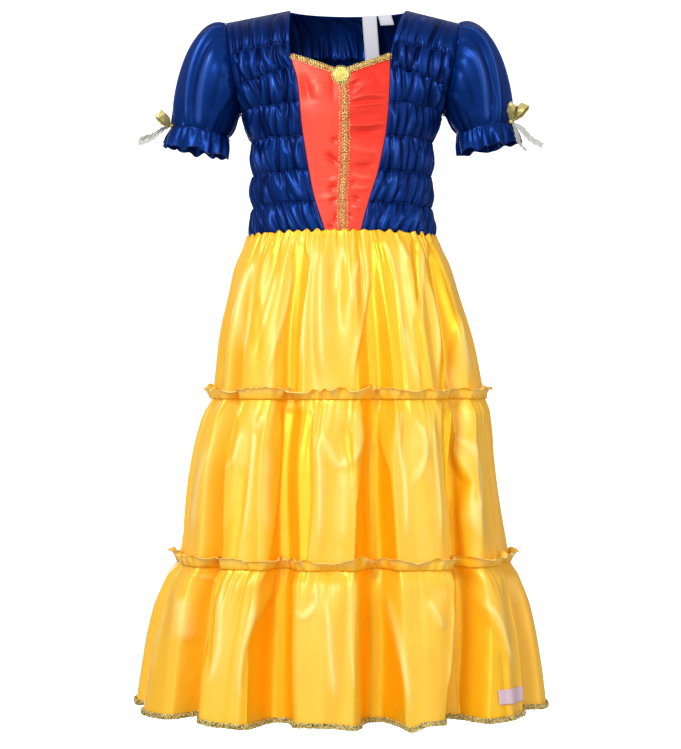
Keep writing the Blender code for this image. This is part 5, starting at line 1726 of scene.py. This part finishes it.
def make_braids():
    """Braid round the hem, down the centre front and along the neck's point."""
    hem = tier_points(2)[0]
    low, high = hem[-1], hem[-2]
    outward = level_normals(hem[-1:])[0]
    path = low + outward * BRAID_LIFT
    path[:, 2] += 0.0022
    scallop = merge_motifs(
        thread_ring(0.0021, 0.0030, 0.00062, 0.5, 0.0000, (0.0, 0.0)),
        thread_ring(0.0021, 0.0030, 0.00062, -0.5, 0.0006, (0.0015, 0.0)),
    )
    braid_object("hem_gimp_braid", scallop, path, outward, 0.0034, True, "hem_braid", "gold_lurex_hem_braid")
    points, normals, _ = insert_points()
    middle = INSERT_COLUMNS // 2
    line, out = points[:, middle], normals[:, middle]
    keep = line[:, 2] <= CENTRE_BRAID_TOP_Z
    chain = merge_motifs(
        thread_ring(0.0021, 0.0012, 0.00042, 1.25, 0.0001, (0.0, 0.0045)),
        thread_ring(0.0021, 0.0012, 0.00042, -1.25, 0.0001, (0.0, -0.0045)),
        thread_ring(0.0019, 0.0010, 0.00060, 0.60, 0.0009, (0.0016, 0.0011)),
        thread_ring(0.0019, 0.0010, 0.00060, -0.60, 0.0009, (0.0016, -0.0011)),
    )
    lifted = line[keep] + out[keep] * BRAID_LIFT
    braid_object("centre_gimp_braid", chain, lifted, out[keep], 0.0038, False, "centre_braid", "gold_lurex_braid")
    edge, below = points[-1], points[-4]
    down = unit(below - edge)
    path = edge + down * 0.0036 + normals[-1] * BRAID_LIFT
    narrow = merge_motifs(
        thread_ring(0.0022, 0.0013, 0.00050, 0.55, 0.0002, (0.0, 0.0021)),
        thread_ring(0.0022, 0.0013, 0.00050, -0.55, 0.0002, (0.0, -0.0021)),
        thread_ring(0.0020, 0.0011, 0.00060, 0.75, 0.0007, (0.0016, 0.0)),
    )
    braid_object("neck_gimp_braid", narrow, path, normals[-1], 0.0032, False, "neck_braid", "gold_lurex_braid")


def make_labels():
    """Bare woven labels: one above the hem and two inside the back of the neck."""
    tape = bpy.context.scene.dress_sizes.label
    cloth = tier_points(2)[0]
    first, last = (round((1 + place) / 2 * TIER_COLUMNS) for place in HEM_LABEL_PLACES)
    columns = np.linspace(first, last, 60)
    low_z = HEM_Z + HEM_LABEL_LOW
    rows = []
    for z in np.linspace(low_z, low_z + HEM_LABEL_HEIGHT, 14):
        heights = cloth[:, :, 2]
        line = []
        for column in columns:
            c = int(column)
            k = int(np.searchsorted(-heights[:, c], -z))
            share = (z - heights[k, c]) / (heights[k - 1, c] - heights[k, c])
            line.append(between(cloth[k, c], cloth[k - 1, c], share))
        rows.append(line)
    points = np.array(rows)
    kernel = np.hanning(9) / np.hanning(9).sum()
    padded = np.concatenate([points[:, :1].repeat(4, 1), points, points[:, -1:].repeat(4, 1)], axis=1)
    points = np.stack(
        [[np.convolve(row[:, k], kernel, "valid") for k in range(3)] for row in padded]
    ).transpose(0, 2, 1)
    outward = grid_normals(points, False, away_from_axis(points))
    points = points + outward * 0.0016
    obj = sew("hem_label_tape", points, finish("pink_label_tape"), tape, ["hem_label"])
    columns = 48
    edge = back_base(np.array([BANDS - 1.0, BANDS]), np.array([0.0, 8 / columns]))[-1]
    ends = edge[0], edge[1]
    inward = unit(np.array([ends[0][1] - ends[1][1], ends[0][0] - ends[1][0], 0.0]))
    for label in NECK_LABELS:
        rows = []
        for share in np.linspace(0, 1, 24):
            drop = np.array([label.swing * share, 0.0, 0.0012 - (label.length + 0.0012) * share])
            curl = inward * (0.0012 + 0.0022 * math.sin(share * 2.6) * share)
            width = np.linspace(label.start, label.end, 9)[:, None]
            bow = inward * (0.0006 * np.sin(np.linspace(0, math.pi, 9)))[:, None]
            rows.append(between(ends[0], ends[1], width) + drop + curl + bow)
        points = np.array(rows)
        towards = points - inward
        obj = sew(label.name, points, finish("white_label_tape"), tape, [label.node], towards=towards)


# The operators


class DRESS_OT_camera(bpy.types.Operator):
    """Adds the camera at the photograph's angle."""

    bl_idname = "dress.camera"
    bl_label = "Camera"

    def execute(self, context):
        data = bpy.data.cameras.new("camera")
        data.sensor_fit = "VERTICAL"
        data.sensor_height = 36.0
        data.lens = 100.0
        camera = bpy.data.objects.new("camera", data)
        camera.location = (-0.0019, -2.6, -0.453)
        camera.rotation_euler = (math.pi / 2, 0.0, 0.0)
        context.scene.collection.objects.link(camera)
        context.scene.camera = camera
        return {"FINISHED"}


class DRESS_OT_stage(bpy.types.Operator):
    """Adds a pale floor that curves up all round into a backdrop, and soft studio lights."""

    bl_idname = "dress.stage"
    bl_label = "Studio"

    def execute(self, context):
        bend = np.linspace(0.0, math.pi / 2, 12)
        profile = [(0.001, 0.0), *zip(4.6 + 0.9 * np.sin(bend), 0.9 - 0.9 * np.cos(bend)), (5.5, 5.0)]
        turn = np.linspace(0, TAU, 73)[:-1]
        points = np.array([[(r * math.cos(a), r * math.sin(a), z - 1.25) for a in turn] for r, z in profile])
        made, tree, output = new_material("white_paper_backdrop")
        shader = add_node(
            tree, "ShaderNodeBsdfPrincipled",
            {
                "Base Color": rgba(linear("#F4F4F4")), "Roughness": 0.9,
                "Emission Color": (1.0, 1.0, 1.0, 1.0), "Emission Strength": 0.8,
            },
        )
        tree.links.new(shader.outputs["BSDF"], output.inputs["Surface"])
        towards = 2 * points - np.array([0.0, 0.0, 1.0])
        floor = bare_object("studio_floor", sheet_mesh("studio_floor", points, True, towards), made)
        floor.visible_glossy = False
        floor.visible_diffuse = False
        world = bpy.data.worlds.new("studio")
        context.scene.world = world
        world.use_nodes = True
        background = world.node_tree.nodes["Background"]
        background.inputs["Color"].default_value = (1.0, 1.0, 1.0, 1.0)
        background.inputs["Strength"].default_value = 0.48
        context.scene.view_settings.view_transform = "Standard"
        context.scene.view_settings.look = "None"
        for name, place, aim, size, power in (
            ("key_softbox", (-1.3, -2.4, 1.2), (0.0, 0.0, -0.40), (1.0, 1.6), 72.0),
            ("front_softbox", (-0.2, -3.4, -0.3), (0.0, 0.0, -0.45), (2.6, 2.6), 22.0),
            ("fill_softbox", (2.1, -1.7, 0.3), (0.0, 0.0, -0.45), (0.7, 1.8), 15.0),
            ("back_softbox", (-0.5, 2.8, -0.5), (0.0, 0.0, -0.4), (1.6, 1.4), 30.0),
        ):
            data = bpy.data.lights.new(name, "AREA")
            data.shape = "RECTANGLE"
            data.size, data.size_y = size
            data.energy = power
            lamp = bpy.data.objects.new(name, data)
            lamp.location = place
            lamp.visible_camera = False
            lamp.rotation_euler = (Vector(aim) - Vector(place)).to_track_quat("-Z", "Y").to_euler()
            context.scene.collection.objects.link(lamp)
        return {"FINISHED"}


class DRESS_OT_bodice(bpy.types.Operator):
    """Makes the blue shirred fronts and back, the red centre front and the rows of stitches."""

    bl_idname = "dress.bodice"
    bl_label = "Bodice"

    def execute(self, context):
        thickness = context.scene.dress_sizes.shirred
        blue = finish("blue_satin")
        points, painted_shading = back_points()
        back = sew("blue_back_cloth", points, blue, thickness, ["bodice_back"], painted_shading=painted_shading)
        for side, word in ((-1, "right"), (1, "left")):
            name = f"blue_front_cloth_{word}"
            points, painted_shading = front_points(side)
            obj = sew(name, points, blue, thickness, [f"bodice_front_{word}"], painted_shading=painted_shading)
        points, _, painted_shading = insert_points()
        red = sew(
            "red_front_cloth", points, finish("red_satin"), thickness, ["bodice_insert"], painted_shading=painted_shading
        )
        make_stitches()
        return {"FINISHED"}


class DRESS_OT_sleeves(bpy.types.Operator):
    """Makes the puff sleeves with their frilled cuffs."""

    bl_idname = "dress.sleeves"
    bl_label = "Sleeves"

    def execute(self, context):
        for side in SLEEVES:
            make_sleeve(side)
        return {"FINISHED"}


class DRESS_OT_skirt(bpy.types.Operator):
    """Makes the three gathered tiers and the ruffle headings between them."""

    bl_idname = "dress.skirt"
    bl_label = "Skirt"

    def execute(self, context):
        for number in range(len(TIERS)):
            make_tier(number)
        for ruffle in RUFFLES:
            make_ruffle(ruffle)
        return {"FINISHED"}


class DRESS_OT_braids(bpy.types.Operator):
    """Makes the gold braids."""

    bl_idname = "dress.braids"
    bl_label = "Gold braids"

    def execute(self, context):
        make_braids()
        return {"FINISHED"}


class DRESS_OT_rosette(bpy.types.Operator):
    """Makes the rolled rose at the neck."""

    bl_idname = "dress.rosette"
    bl_label = "Rolled rose"

    def execute(self, context):
        make_rosette()
        return {"FINISHED"}


class DRESS_OT_bows(bpy.types.Operator):
    """Ties a ribbon bow on each cuff."""

    bl_idname = "dress.bows"
    bl_label = "Cuff bows"

    def execute(self, context):
        for side in BOWS:
            make_bow(side)
        return {"FINISHED"}


class DRESS_OT_labels(bpy.types.Operator):
    """Sews in the bare labels."""

    bl_idname = "dress.labels"
    bl_label = "Bare labels"

    def execute(self, context):
        make_labels()
        return {"FINISHED"}


class DRESS_PT_panel(bpy.types.Panel):
    """Lists the dress's sizes, colours and pieces in the sidebar."""

    bl_idname = "DRESS_PT_panel"
    bl_label = "Satin costume dress"
    bl_space_type = "VIEW_3D"
    bl_region_type = "UI"
    bl_category = "Dress"

    def draw(self, context):
        for group in (context.scene.dress_sizes, context.scene.dress_colours):
            box = self.layout.box()
            for name in group.__annotations__:
                box.prop(group, name)
        for operator in OPERATORS:
            self.layout.operator(operator.bl_idname)


OPERATORS = (
    DRESS_OT_camera,
    DRESS_OT_stage,
    DRESS_OT_bodice,
    DRESS_OT_sleeves,
    DRESS_OT_skirt,
    DRESS_OT_braids,
    DRESS_OT_rosette,
    DRESS_OT_bows,
    DRESS_OT_labels,
)
CLASSES = (DressSizes, DressColours, *OPERATORS, DRESS_PT_panel)


def register():
    for cls in CLASSES:
        bpy.utils.register_class(cls)
    bpy.types.Scene.dress_sizes = PointerProperty(type=DressSizes)
    bpy.types.Scene.dress_colours = PointerProperty(type=DressColours)


def unregister():
    del bpy.types.Scene.dress_colours
    del bpy.types.Scene.dress_sizes
    for cls in reversed(CLASSES):
        bpy.utils.unregister_class(cls)


def main():
    """Makes the whole scene."""
    register()
    for operator in OPERATORS:
        group, name = operator.bl_idname.split(".")
        getattr(getattr(bpy.ops, group), name)()


if __name__ == "__main__":
    main()
